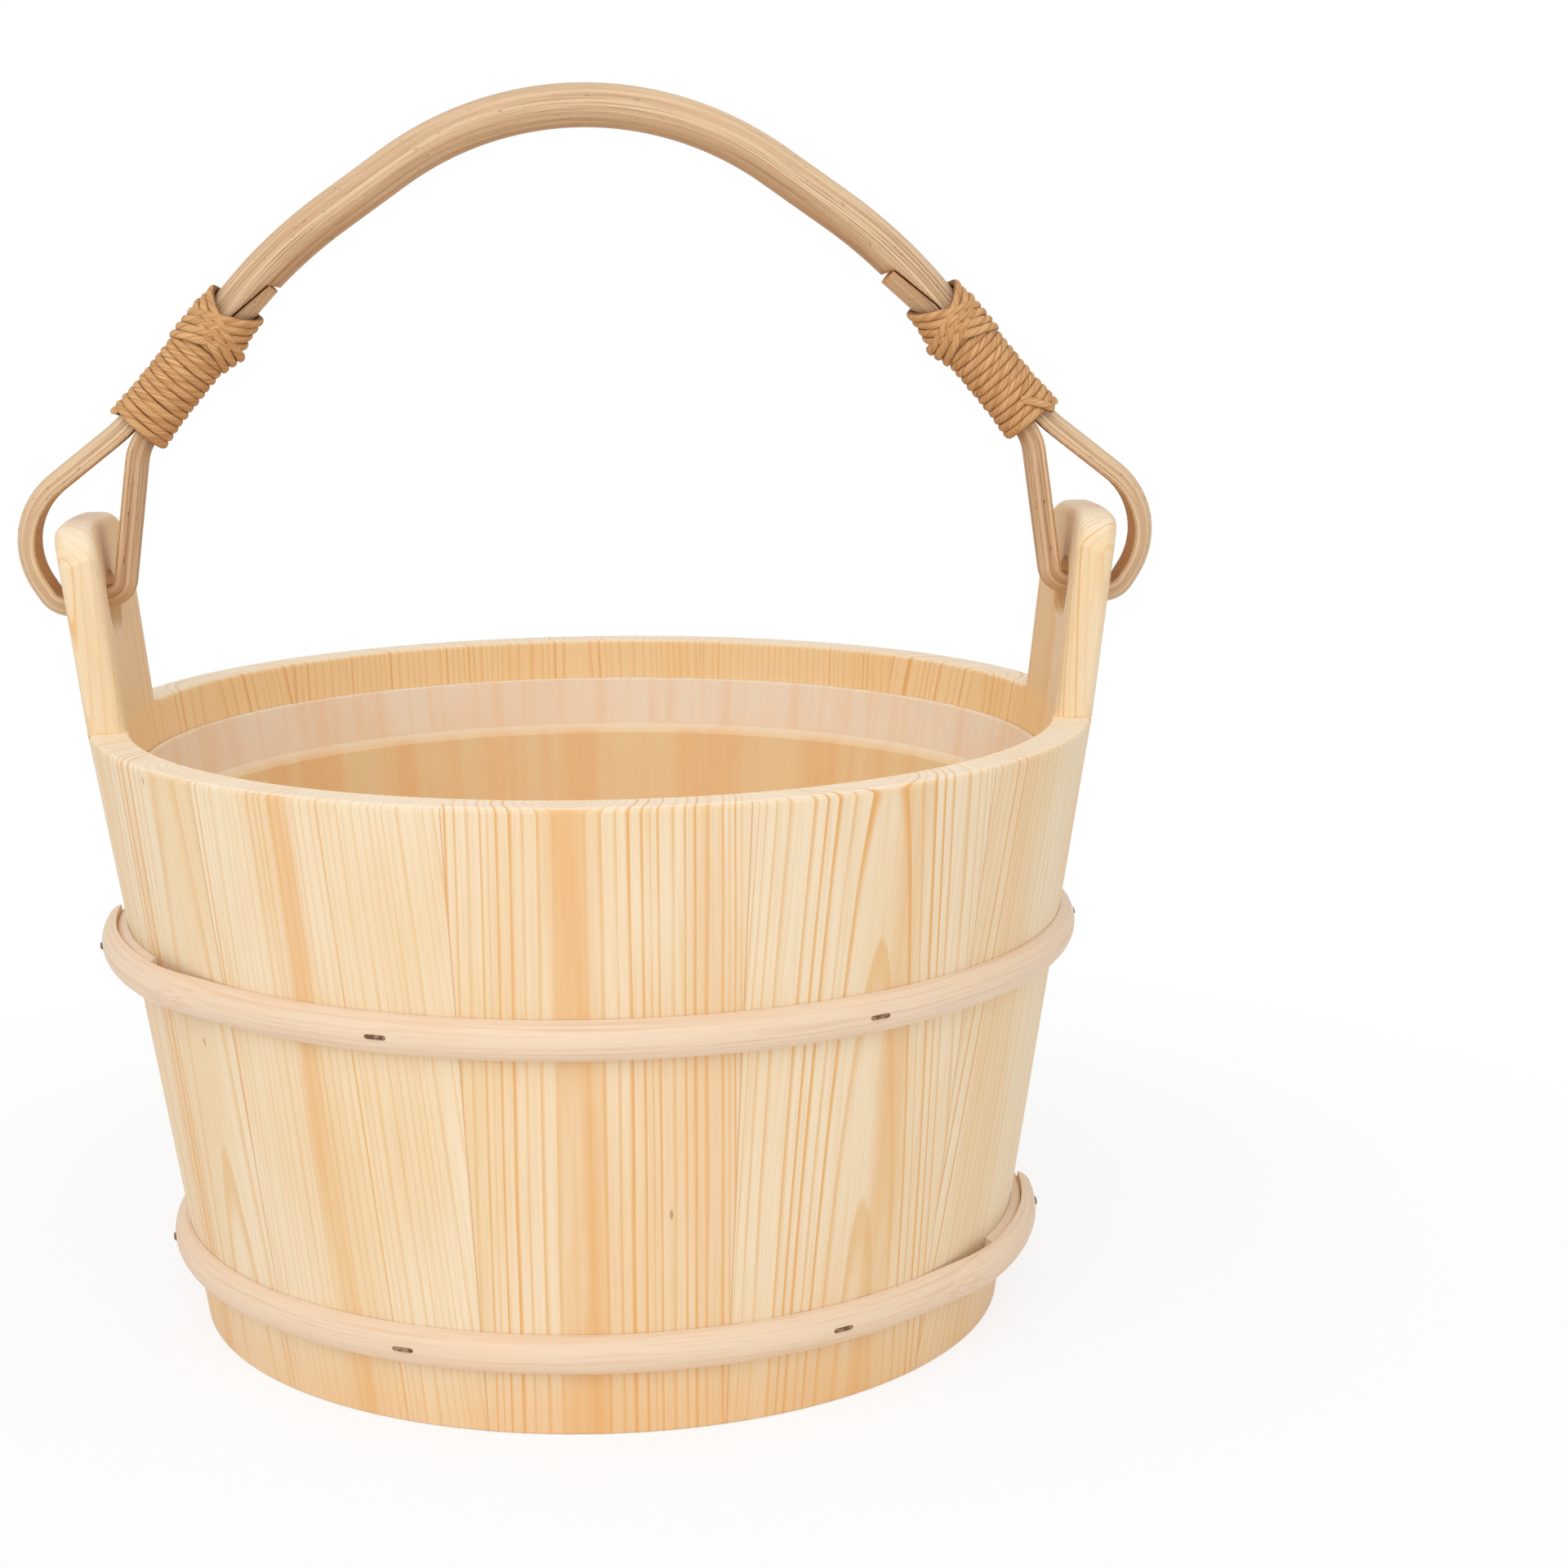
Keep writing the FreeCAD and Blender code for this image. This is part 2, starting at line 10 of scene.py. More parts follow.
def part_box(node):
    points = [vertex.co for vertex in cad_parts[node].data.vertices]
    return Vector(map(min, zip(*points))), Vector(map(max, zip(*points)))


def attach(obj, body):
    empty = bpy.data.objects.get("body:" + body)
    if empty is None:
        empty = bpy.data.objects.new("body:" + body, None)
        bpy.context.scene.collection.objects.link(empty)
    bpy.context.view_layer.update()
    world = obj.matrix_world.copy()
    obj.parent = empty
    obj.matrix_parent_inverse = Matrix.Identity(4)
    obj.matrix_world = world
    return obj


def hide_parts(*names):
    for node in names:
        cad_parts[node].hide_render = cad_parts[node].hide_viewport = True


bl_info = {
    "name": "Stave pail",
    "version": (1, 0, 0),
    "blender": (4, 5, 0),
    "location": "3D View > Sidebar > Pail",
    "description": "Dresses a coopered pail: pine, cane hoops and bail, twine lashings and a liner",
    "category": "Object",
}

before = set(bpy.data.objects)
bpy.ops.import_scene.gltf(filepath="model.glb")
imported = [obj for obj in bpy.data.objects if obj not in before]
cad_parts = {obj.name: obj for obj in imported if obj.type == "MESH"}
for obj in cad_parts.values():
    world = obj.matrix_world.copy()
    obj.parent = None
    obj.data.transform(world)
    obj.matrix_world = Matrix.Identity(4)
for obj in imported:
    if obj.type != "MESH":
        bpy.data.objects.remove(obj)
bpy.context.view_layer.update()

# Lengths are in metres, and those of the pail repeat the sizes that the solids were made from.
# Directions round the pail are in degrees from the X axis, which points at the right ear. They run
# anticlockwise seen from above: 90 is the back and 270 the front.
STAVES_PER_SIDE = 5
EAR_ANGLE = 25.0
STAVE_ANGLE = (180.0 - EAR_ANGLE) / STAVES_PER_SIDE
RIM_RADIUS = 0.130
FOOT_RADIUS = 0.1061
PAIL_HEIGHT = 0.1575

# The right lashing stands on the crotch, where the two strands of the cane's loop meet. The left
# one is its mirror image. The normal points away from the pail's middle.
CROTCH = Vector((0.116037, 0.0, 0.2305))
LASHING_AXIS = Vector((-0.64295, 0.0, 0.765908))
LASHING_NORMAL = Vector((0.765908, 0.0, 0.64295))

WHITE = (1.0, 1.0, 1.0)


# Shader arithmetic

class Wire:
    """The output of a node. Sums and products of wires add Math nodes."""

    def __init__(self, nodes, socket):
        self.nodes = nodes
        self.socket = socket

    def beside(self, name):
        """The wire of another output of the same node."""
        return Wire(self.nodes, self.socket.node.outputs[name])

    def __add__(self, other):
        return self.nodes.maths("ADD", self, other)

    def __radd__(self, other):
        return self.nodes.maths("ADD", other, self)

    def __sub__(self, other):
        return self.nodes.maths("SUBTRACT", self, other)

    def __rsub__(self, other):
        return self.nodes.maths("SUBTRACT", other, self)

    def __mul__(self, other):
        return self.nodes.maths("MULTIPLY", self, other)

    def __rmul__(self, other):
        return self.nodes.maths("MULTIPLY", other, self)

    def __truediv__(self, other):
        return self.nodes.maths("DIVIDE", self, other)

    def __abs__(self):
        return self.nodes.maths("ABSOLUTE", self)

    def whole(self):
        return self.nodes.maths("FLOOR", self)

    def part(self):
        return self.nodes.maths("FRACT", self)

    def root(self):
        return self.nodes.maths("SQRT", self)

    def cosine(self):
        return self.nodes.maths("COSINE", self)

    def sine(self):
        return self.nodes.maths("SINE", self)

    def at_least(self, other):
        return self.nodes.maths("MAXIMUM", self, other)

    def rise(self, low, high):
        """0 below low, 1 above high and smooth between them."""
        settings = {"interpolation_type": "SMOOTHSTEP"}
        values = {"Value": self, "From Min": low, "From Max": high}
        return self.nodes.node("ShaderNodeMapRange", settings, values, "Result")


class Nodes:
    """A node tree in the making."""

    def __init__(self, tree):
        self.tree = tree

    def feed(self, socket, value):
        """Links a wire to a socket, or sets the socket's own value."""
        if isinstance(value, Wire):
            self.tree.links.new(value.socket, socket)
        elif socket.type == "RGBA":
            socket.default_value = (*value, 1.0)
        else:
            socket.default_value = value

    def node(self, kind, settings=None, values=None, output=0):
        """Adds a node: its settings first, then the values or wires of its sockets."""
        made = self.tree.nodes.new(kind)
        for key, value in (settings or {}).items():
            setattr(made, key, value)
        for key, value in (values or {}).items():
            self.feed(made.inputs[key], value)
        return Wire(self, made.outputs[output])

    def maths(self, operation, *values):
        return self.node("ShaderNodeMath", {"operation": operation}, dict(enumerate(values)))

    def vector(self, x, y, z):
        return self.node("ShaderNodeCombineXYZ", values={0: x, 1: y, 2: z})

    def split(self, vector):
        """The three parts of a vector."""
        x = self.node("ShaderNodeSeparateXYZ", values={0: vector}, output="X")
        return [x, x.beside("Y"), x.beside("Z")]

    def place(self):
        """The point on the piece, in the row frame, as three wires."""
        return self.split(self.node("ShaderNodeTexCoord", output="Object"))

    def strand_place(self):
        """The distance along a strand in metres and the share of a turn round it."""
        return self.split(self.node("ShaderNodeUVMap", {"uv_map": "run"}, output="UV"))[:2]

    def noise(self, x, y, z, detail=2.0, roughness=0.5):
        """Soft noise, mostly between 0.3 and 0.7."""
        values = {"Vector": self.vector(x, y, z), "Scale": 1.0, "Detail": detail,
                  "Roughness": roughness}
        return self.node("ShaderNodeTexNoise", values=values, output="Fac")

    def dice(self, number):
        """A random value from 0 to 1 for each whole number."""
        settings = {"noise_dimensions": "1D"}
        return self.node("ShaderNodeTexWhiteNoise", settings, {"W": number}, "Value")

    def mix(self, share, first, second):
        """A colour between two others. The share of the second is held between 0 and 1."""
        settings = {"data_type": "RGBA", "clamp_factor": True}
        return self.node("ShaderNodeMix", settings, {0: share, 6: first, 7: second}, 2)


class Finish(Nodes):
    """A material in the making, with its Principled shader."""

    def __init__(self, name, **values):
        self.material = bpy.data.materials.new(name)
        self.material.use_nodes = True
        super().__init__(self.material.node_tree)
        self.shader = self.tree.nodes["Principled BSDF"]
        self.give(**values)

    def give(self, **values):
        """Feeds the shader's sockets with constants or wires."""
        for name, value in values.items():
            self.feed(self.shader.inputs[name.replace("_", " ")], value)

    def bump(self, height, distance, strength):
        values = {"Height": height, "Distance": distance, "Strength": strength}
        self.give(Normal=self.node("ShaderNodeBump", values=values, output="Normal"))


def linear(red, green, blue):
    """A shader colour from the 0 to 255 values that a screen shows."""
    values = [value / 255.0 for value in (red, green, blue)]
    return tuple(v / 12.92 if v <= 0.04045 else ((v + 0.055) / 1.055) ** 2.4 for v in values)


# Sizes and colours that a user would change

def colour_prop(name, description, *shown):
    """A colour setting, its default given as a screen shows it."""
    return bpy.props.FloatVectorProperty(
        name=name, description=description, subtype="COLOR", size=3, min=0.0, max=1.0,
        default=linear(*shown))


def length_prop(name, description, default):
    return bpy.props.FloatProperty(
        name=name, description=description, unit="LENGTH", subtype="DISTANCE", precision=4,
        min=0.0, default=default)


def angle_prop(name, description, degrees):
    return bpy.props.FloatProperty(
        name=name, description=description, subtype="ANGLE", default=math.radians(degrees))


class PineSettings(bpy.types.PropertyGroup):
    """Pine of the staves and the bottom."""
    cream: colour_prop("Early wood", "Pale wood between the growth lines", 243, 224, 193)
    warm: colour_prop("Warm wood", "Broad warmer patches", 240, 213, 172)
    line: colour_prop("Late wood", "Thin growth lines", 231, 184, 122)
    stripe: colour_prop("Stripe", "The strongest growth lines and bands", 233, 175, 106)
    inner: colour_prop("Inner face", "Early wood inside the pail", 255, 214, 146)
    inner_line: colour_prop("Inner lines", "Late wood inside the pail", 236, 168, 96)
    # The end grain colour is end grain made pale as painted light, for faces looking up or down.
    end_grain_and_top_light: colour_prop("End grain", "Ends of the staves between the rings", 255, 238, 214)
    speck: colour_prop("Speck", "Small resin specks", 176, 112, 62)
    joint: colour_prop("Joint", "The dark line where two staves meet", 212, 164, 112)
    joint_width: length_prop("Joint width", "Width of the dark line at a stave's edge", 0.00016)


class HoopSettings(bpy.types.PropertyGroup):
    """Split cane of the hoops."""
    face: colour_prop("Cane", "Peeled face of the cane", 236, 211, 184)
    fibre: colour_prop("Fibre", "Lengthwise fibres", 220, 182, 144)
    cloud: colour_prop("Cloud", "Broad warmer patches", 240, 196, 158)


class WireSettings(bpy.types.PropertyGroup):
    """Staple wire."""
    steel: colour_prop("Steel", "Bright wire", 170, 136, 102)
    rust: colour_prop("Rust", "Rusty wire", 100, 66, 40)


class LinerSettings(bpy.types.PropertyGroup):
    """Frosted plastic of the liner."""
    plastic: colour_prop("Plastic", "Frosted plastic of the collar", 255, 240, 220)
    cloud: colour_prop("Cloud", "Warmer patches of the collar", 255, 222, 184)
    drawn: colour_prop("Streak", "Upright streaks of the collar", 250, 208, 162)
    # The step colour is a painted highlight along the collar's step.
    step: colour_prop("Step", "The pale line where the collar begins", 255, 240, 222)
    glow: colour_prop("Glow", "The plastic below the collar, warm from the wood behind it",
                      255, 226, 176)
    grain: colour_prop("Grain", "The wood's grain seen through the plastic", 255, 190, 120)
    haze: colour_prop("Haze", "Milky patches below the collar", 255, 226, 186)
    clearness: bpy.props.FloatProperty(
        name="Clearness", description="How much of the wood shows through", subtype="FACTOR",
        min=0.0, max=1.0, default=0.19)


class BailSettings(bpy.types.PropertyGroup):
    """Cane of the bail."""
    radius: length_prop("Radius", "Radius of the cane", 0.0056)
    bark: colour_prop("Bark", "Round face of the cane", 205, 165, 126)
    # Pale bark is also painted light on the outer side of the cane and on the crown's top.
    pale: colour_prop("Pale bark", "Worn streaks on the bark", 230, 198, 160)
    # Dark bark is also painted shade on the inner side of the bend.
    dark: colour_prop("Dark bark", "Grooves, scars and the inner side", 150, 108, 70)
    speck: colour_prop("Speck", "Short dark specks", 112, 78, 48)
    shaved: colour_prop("Shaved face", "Flat face of the halved ends", 206, 150, 92)


class TwineSettings(bpy.types.PropertyGroup):
    """Twine of the lashings."""
    width: length_prop("Width", "Width of a strand along the lashing", 0.00245)
    thickness: length_prop("Thickness", "Thickness of a strand", 0.0020)
    step: length_prop("Step", "Distance from turn to turn", 0.00225)
    turns: bpy.props.IntProperty(name="Turns", description="Close turns", min=2, default=16)
    passes: bpy.props.IntProperty(
        name="Passes", description="Slanting turns that cross in front of the upper end",
        min=2, default=7)
    light: colour_prop("Light twine", "Raised fibres", 232, 186, 132)
    dark: colour_prop("Dark twine", "Between the fibres", 178, 122, 72)
    pale: colour_prop("Pale twine", "Worn stretches", 236, 198, 146)
    dull: colour_prop("Dull twine", "Stained stretches", 186, 132, 78)
    # The gap colour is painted shade where one turn meets the next.
    gap: colour_prop("Gap", "Where one strand meets the next", 118, 72, 34)


class StageSettings(bpy.types.PropertyGroup):
    """Camera, floor and light."""
    lens: bpy.props.FloatProperty(
        name="Lens", description="Focal length", unit="CAMERA", min=1.0, default=68.58)
    camera_place: bpy.props.FloatVectorProperty(
        name="Camera", description="Where the camera stands", subtype="TRANSLATION", unit="LENGTH",
        size=3, default=(0.0, -0.77506, 0.29117))
    pitch: angle_prop("Pitch", "How far the camera looks down", 11.288)
    yaw: angle_prop("Yaw", "How far the camera turns to the right", 3.671)
    roll: angle_prop("Roll", "How far the camera leans", 0.343)
    sky: bpy.props.FloatProperty(
        name="Sky", description="Strength of the even light from all round", min=0.0, default=0.70)
    window: bpy.props.FloatProperty(
        name="Window", description="Power of the large soft lamp", unit="POWER", min=0.0,
        default=21.0)


class PailSettings(bpy.types.PropertyGroup):
    """All settings of the pail."""
    pine: bpy.props.PointerProperty(type=PineSettings)
    hoop: bpy.props.PointerProperty(type=HoopSettings)
    wire: bpy.props.PointerProperty(type=WireSettings)
    liner: bpy.props.PointerProperty(type=LinerSettings)
    bail: bpy.props.PointerProperty(type=BailSettings)
    twine: bpy.props.PointerProperty(type=TwineSettings)
    stage: bpy.props.PointerProperty(type=StageSettings)


# Finishes. The factors inside noise() are waves per metre or per radian. The pairs inside rise()
# are the noise values between which a feature comes in. Both, and the strengths of the features,
# were set one by one.

# Pine

# Parts of a growth ring, from 0 at its start to 1 at its end
LATE_WOOD = (0.55, 0.93)
THIN_LINE = (0.66, 0.90)
RING_END = (0.955, 1.0)
RING_WANDER = 4.0  # how many rings wide and narrow years shift the count by
SEED_SPREAD = 7.31
BAND_SWAY = 0.022  # how far a golden band's edges sway

# Depths are from the outer face, negative towards the pail's middle, and heights from the foot
INNER_FACE = (-0.0095, -0.0065)
OUTER_FACE = (-0.0035, -0.001)
# Heights from the foot over which the painted shade at the foot fades out
FOOT_SHADE_HEIGHTS = (0.004, 0.026)
RIM_EDGE = (PAIL_HEIGHT - 0.0005, PAIL_HEIGHT + 0.0008)
JOINT_FADE = 2.2  # how many widths a joint's dark line takes to fade
SAW_CUT_HEIGHT = 0.0004  # of the line on an ear, above the rim
SAW_CUT_WAVER = 0.0012
SAW_CUT_WIDTH = (0.0001, 0.0005)
# Faces that look up or down, such as the rim's top, get painted light from the pale end grain.
END_FACING = (0.55, 0.85)  # how far a face looks up or down before it shows end grain
SPECK_SIZE = (0.012, 0.030)  # as shares of the specks' spacing
PINE_RELIEF = 0.00012


class Grain(NamedTuple):
    """Growth lines of one stave or board, as rings round the pith of its log."""
    across: float  # the pith's place along the width
    depth: float  # how far behind the face the pith lies
    lean: float  # how far the pith moves sideways for each metre of length
    dive: float  # how far it moves away from the face
    step: float  # width of a ring
    seed: float
    strong: float  # share of strong rings
    waver: float = 0.0012  # how far the lines waver
    bold: float = 0.50  # strength of the thin lines
    band: tuple = ()  # place, half width and strength of a golden band


STAVE_GRAIN = {
    "stave_01": Grain(0.012, 0.016, 0.05, 0.03, 0.0022, 1.3, 0.45, 0.0004, 0.50),
    "stave_02": Grain(-0.060, 0.022, -0.02, 0.00, 0.0021, 2.1, 0.18, 0.0003, 0.42,
                      (-0.005, 0.0045, 0.55)),
    "stave_03": Grain(-0.006, 0.008, 0.00, 0.00, 0.0022, 3.7, 0.36, 0.0004, 0.66,
                      (-0.005, 0.0080, 0.70)),
    "stave_04": Grain(0.005, 0.007, -0.03, 0.05, 0.0025, 4.4, 0.28, 0.0005, 0.58,
                      (0.008, 0.0070, 0.55)),
    "stave_05": Grain(0.034, 0.020, 0.04, 0.02, 0.0023, 5.9, 0.25, 0.0004, 0.38),
    "stave_06": Grain(0.004, 0.016, -0.06, 0.04, 0.0024, 6.2, 0.30, 0.0005),
    "stave_07": Grain(-0.040, 0.020, 0.05, 0.00, 0.0019, 7.5, 0.25, 0.0004),
    "stave_08": Grain(0.002, 0.010, 0.02, -0.03, 0.0023, 8.8, 0.40, 0.0005),
    "stave_09": Grain(0.045, 0.026, -0.04, 0.00, 0.0020, 9.4, 0.22, 0.0004),
    "stave_10": Grain(-0.006, 0.018, 0.05, 0.03, 0.0026, 10.1, 0.28, 0.0005),
    "ear_stave_left": Grain(0.006, 0.014, -0.03, 0.05, 0.0015, 11.6, 0.22, 0.0004, 0.28),
    "ear_stave_right": Grain(-0.008, 0.014, 0.04, 0.05, 0.0015, 12.2, 0.22, 0.0004, 0.28),
}


def stave_direction(name):
    """The direction of a stave's middle round the pail."""
    if name == "ear_stave_right":
        return 0.0
    if name == "ear_stave_left":
        return 180.0
    index = int(name[-2:]) - 1
    start = 180.0 if index < STAVES_PER_SIDE else 0.0
    return start + EAR_ANGLE / 2 + (index % STAVES_PER_SIDE + 0.5) * STAVE_ANGLE


def growth_lines(finish, across, depth, height, grain, pine):
    """Pine colour from the distance to the pith, with the share of late wood as a second result."""
    seed = grain.seed * SEED_SPREAD
    sway = finish.noise(across * 14, depth * 14, height * 5 + seed) - 0.5
    fine_sway = finish.noise(across * 60, depth * 60, height * 9 + seed) - 0.5
    side = across - height * grain.lean - grain.across
    back = depth + height * grain.dive + grain.depth
    distance = (side * side + back * back).root()
    wander = finish.noise(distance * 110, seed, 0.0, detail=1.0) * RING_WANDER
    swayed = distance + sway * (grain.waver * 6) + fine_sway * grain.waver
    ring = swayed / grain.step + wander + seed
    place_in_ring = ring.part()
    before_end = 1 - place_in_ring.rise(*RING_END)
    late = place_in_ring.rise(*LATE_WOOD) * before_end
    thin = place_in_ring.rise(*THIN_LINE) * before_end
    chance = finish.dice(ring.whole() + seed)
    wide = chance.rise(1.0 - grain.strong, 1.0 - grain.strong * 0.6)

    patch = finish.noise(across * 30, depth * 30, height * 8 + seed * 1.7, detail=3.0)
    resin = finish.noise(side * 48, seed, height * 4 + seed * 0.3, detail=1.0)
    fibres = finish.noise(across * 1500, depth * 1500, height * 28 + seed, detail=3.0)
    fading = finish.noise(across * 25, depth * 25, height * 20 + seed * 3)
    faded = 0.55 + 0.45 * fading.rise(0.3, 0.6)
    body = finish.mix(patch.rise(0.40, 0.68), pine.cream, pine.warm)
    body = finish.mix(fibres.rise(0.42, 0.75) * 0.30, body, pine.line)
    body = finish.mix(resin.rise(0.57, 0.74) * (0.32 + late * 0.4), body, pine.stripe)
    if grain.band:
        place, half_width, strength = grain.band
        off_band = abs(across - place + sway * BAND_SWAY)
        mottle = finish.noise(across * 130, seed, height * 11).rise(0.30, 0.62)
        golden = (1 - off_band.rise(half_width * 0.25, half_width)) * (0.35 + mottle * 0.65)
        body = finish.mix(golden * strength, body, pine.stripe)
    body = finish.mix(thin * faded * (grain.bold + chance * 0.25), body, pine.line)
    body = finish.mix(late * wide * faded, body, pine.stripe)
    return body, late * (0.4 + wide * 0.6)


def pine_stave(name, grain, pine):
    """Pine of one stave: golden inside, dark along the joints, painted shade at the foot, and pale
    between the end's rings, which is end grain with painted light.
    """
    finish = Finish("pine_" + name, IOR=1.45, Specular_IOR_Level=0.35)
    x, y, z = finish.place()
    middle = math.radians(stave_direction(name))
    across = y * math.cos(middle) - x * math.sin(middle)
    outward = x * math.cos(middle) + y * math.sin(middle)
    depth = outward - z * ((RIM_RADIUS - FOOT_RADIUS) / PAIL_HEIGHT) - FOOT_RADIUS
    body, late = growth_lines(finish, across, depth, z, grain, pine)

    inside = 1 - depth.rise(*INNER_FACE)
    below_rim = 1 - z.rise(*RIM_EDGE)
    # Painted shade: the outer face is warmer and darker near the foot, below the lower hoop. Staves
    # with bold lines also get a warmer tone of their own.
    painted_foot_shade = (1 - z.rise(*FOOT_SHADE_HEIGHTS)) * (0.75 - 0.75 * inside)
    foot_shade_and_tint = painted_foot_shade + max(0.0, grain.bold - 0.5) * (1 - inside)
    body = finish.mix(foot_shade_and_tint, body, finish.mix(0.5, body, pine.stripe))
    inner_face = finish.mix(late * 0.7, pine.inner, pine.inner_line)
    body = finish.mix(inside * (0.12 + below_rim * 0.43), body, inner_face)

    is_ear = name.startswith("ear")
    half_angle = math.radians(EAR_ANGLE / 2 if is_ear else STAVE_ANGLE / 2)
    to_joint = outward * math.tan(half_angle) - abs(across)
    uneven = finish.noise(0.0, outward * 60, z * 90 + grain.seed)
    edge = (1 - to_joint.rise(0.0, pine.joint_width * JOINT_FADE)) * (0.55 + uneven * 0.45)
    body = finish.mix(edge * below_rim * (1 - inside * 0.6), body, pine.joint)
    if is_ear:
        from_cut = abs(z - PAIL_HEIGHT - SAW_CUT_HEIGHT + (uneven - 0.5) * SAW_CUT_WAVER)
        saw_cut = (1 - from_cut.rise(*SAW_CUT_WIDTH)) * depth.rise(*OUTER_FACE)
        body = finish.mix(saw_cut * 0.7, body, pine.joint)

    normal = finish.node("ShaderNodeNewGeometry", output="Normal")
    # Painted light: faces looking up or down, such as the rim's top, are made pale between their
    # rings, over their end grain.
    end_grain_and_top_light = abs(finish.split(normal)[2]).rise(*END_FACING)
    pores = finish.noise(x * 1400, y * 1400, z * 200)
    body = finish.mix(end_grain_and_top_light * (0.70 - 0.55 * late), body, pine.end_grain_and_top_light)
    body = finish.mix(end_grain_and_top_light * pores.rise(0.35, 0.7) * 0.10, body, pine.line)
    cells = finish.vector(across * 60 + grain.seed, depth * 20, z * 17 + grain.seed)
    speck = finish.node("ShaderNodeTexVoronoi", {"feature": "F1"},
                        {"Vector": cells, "Scale": 1.0}, "Distance")
    body = finish.mix((1 - speck.rise(*SPECK_SIZE)) * 0.7, body, pine.speck)
    fibres = finish.noise(across * 1500, depth * 1500, z * 28 + grain.seed, detail=3.0)
    finish.give(Base_Color=body, Roughness=0.52 - late * 0.08 + pores * 0.08)
    finish.bump(fibres * 0.5 + late * 0.5, PINE_RELIEF, 0.6)
    return finish.material


def pine_board(name, index, pine):
    """Pine of one bottom board, grained from end to end."""
    finish = Finish("pine_" + name, IOR=1.45, Specular_IOR_Level=0.3)
    x, y, z = finish.place()
    grain = Grain(across=0.004 * index - 0.01, depth=0.030, lean=0.03, dive=0.05, step=0.0042,
                  seed=20.0 + index * 1.7, strong=0.35)
    low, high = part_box(name)
    body, late = growth_lines(finish, y - (low.y + high.y) / 2, z, x, grain, pine)
    finish.give(Base_Color=body, Roughness=0.58 - late * 0.08)
    finish.bump(late, PINE_RELIEF, 0.5)
    return finish.material


def dress(node, material):
    """Gives a CAD node its material."""
    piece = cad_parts[node]
    piece.data.materials.clear()
    piece.data.materials.append(material)


# Hoops, staples and liner

HOOP_SEEDS = {"hoop_upper": 3.0, "hoop_lower": 11.0}
HOOP_WAVER = 0.0016
HOOP_RELIEF = 0.00018
WIRE_RELIEF = 0.0001
# Heights on the liner: the end of its floor and the step to its collar
LINER_FLOOR_END = (0.025, 0.034)
COLLAR_START = (0.1300, 0.1345)
COLLAR_STEP = 0.1325
STEP_HIGHLIGHT_WIDTH = (0.0004, 0.0016)
LINER_RELIEF = 0.00006


def cane_hoop(name, seed, hoop):
    """Peeled split cane whose fibres run round the pail."""
    finish = Finish("cane_" + name, IOR=1.45, Specular_IOR_Level=0.35)
    x, y, z = finish.place()
    from_axis = (x * x + y * y).root()
    angle = finish.maths("ARCTAN2", y, x)
    height = z + finish.noise(angle * 3, seed, 0.0) * HOOP_WAVER
    streak = finish.noise(angle * 2.2, height * 1300, from_axis * 1300 + seed, detail=3.0)
    fine = finish.noise(angle * 9, height * 2600, from_axis * 2600)
    cloud = finish.noise(angle * 4, z * 60, seed)
    body = finish.mix(streak.rise(0.46, 0.72) * 0.50, hoop.face, hoop.fibre)
    body = finish.mix(fine.rise(0.55, 0.80) * 0.4, body, hoop.fibre)
    body = finish.mix(cloud.rise(0.45, 0.75) * 0.22, body, hoop.cloud)
    finish.give(Base_Color=body, Roughness=0.42 + streak * 0.16)
    finish.bump(streak * 0.7 + fine * 0.3, HOOP_RELIEF, 0.7)
    return finish.material


def rusty_wire(wire):
    """Steel wire gone brown."""
    finish = Finish("staple_wire", Specular_IOR_Level=0.5)
    x, y, z = finish.place()
    patch = finish.noise(x * 700, y * 700, z * 700, detail=3.0)
    body = finish.mix(patch.rise(0.40, 0.70), wire.rust, wire.steel)
    finish.give(Base_Color=body, Roughness=0.45 + patch * 0.3, Metallic=patch.rise(0.5, 0.8) * 0.6)
    finish.bump(patch, WIRE_RELIEF, 0.5)
    return finish.material


def frosted_plastic(liner):
    """Thin frosted plastic with a soft image of the staves and boards behind it."""
    finish = Finish("liner_plastic", IOR=1.49, Specular_IOR_Level=0.4)
    x, y, z = finish.place()
    angle = finish.maths("ARCTAN2", y, x)
    cloud = finish.noise(x * 30, y * 30, z * 18, detail=3.0)
    drawn = finish.noise(angle * 26, z * 5, 0.0, detail=3.0)
    staves = finish.noise(angle * 7, z * 2.5, 4.0, detail=4.0, roughness=0.6)
    boards = finish.noise(x * 3, y * 75, 2.0, detail=4.0, roughness=0.6)
    frost = finish.noise(x * 2200, y * 2200, z * 2200)
    wall = z.rise(*LINER_FLOOR_END)
    seen = staves * wall + boards * (1 - wall)
    collar = z.rise(*COLLAR_START)
    upper = finish.mix(cloud.rise(0.35, 0.72) * 0.55, liner.plastic, liner.cloud)
    upper = finish.mix(drawn.rise(0.42, 0.70) * 0.42, upper, liner.drawn)
    lower = finish.mix(seen.rise(0.44, 0.62) * 0.45, liner.glow, liner.grain)
    lower = finish.mix(cloud.rise(0.40, 0.75) * 0.30, lower, liner.haze)
    body = finish.mix(collar, lower, upper)
    # Painted highlight: a pale line along the step to the collar.
    painted_step_highlight = 1 - abs(z - COLLAR_STEP).rise(*STEP_HIGHLIGHT_WIDTH)
    body = finish.mix(painted_step_highlight * 0.18, body, liner.step)
    alpha = 1.0 - liner.clearness * (1 - collar * 0.45) + drawn * 0.06
    finish.give(Base_Color=body, Roughness=0.36 + cloud * 0.14, Alpha=alpha)
    finish.bump(frost, LINER_RELIEF, 0.5)
    return finish.material


# Strands: rings of points carried along a line

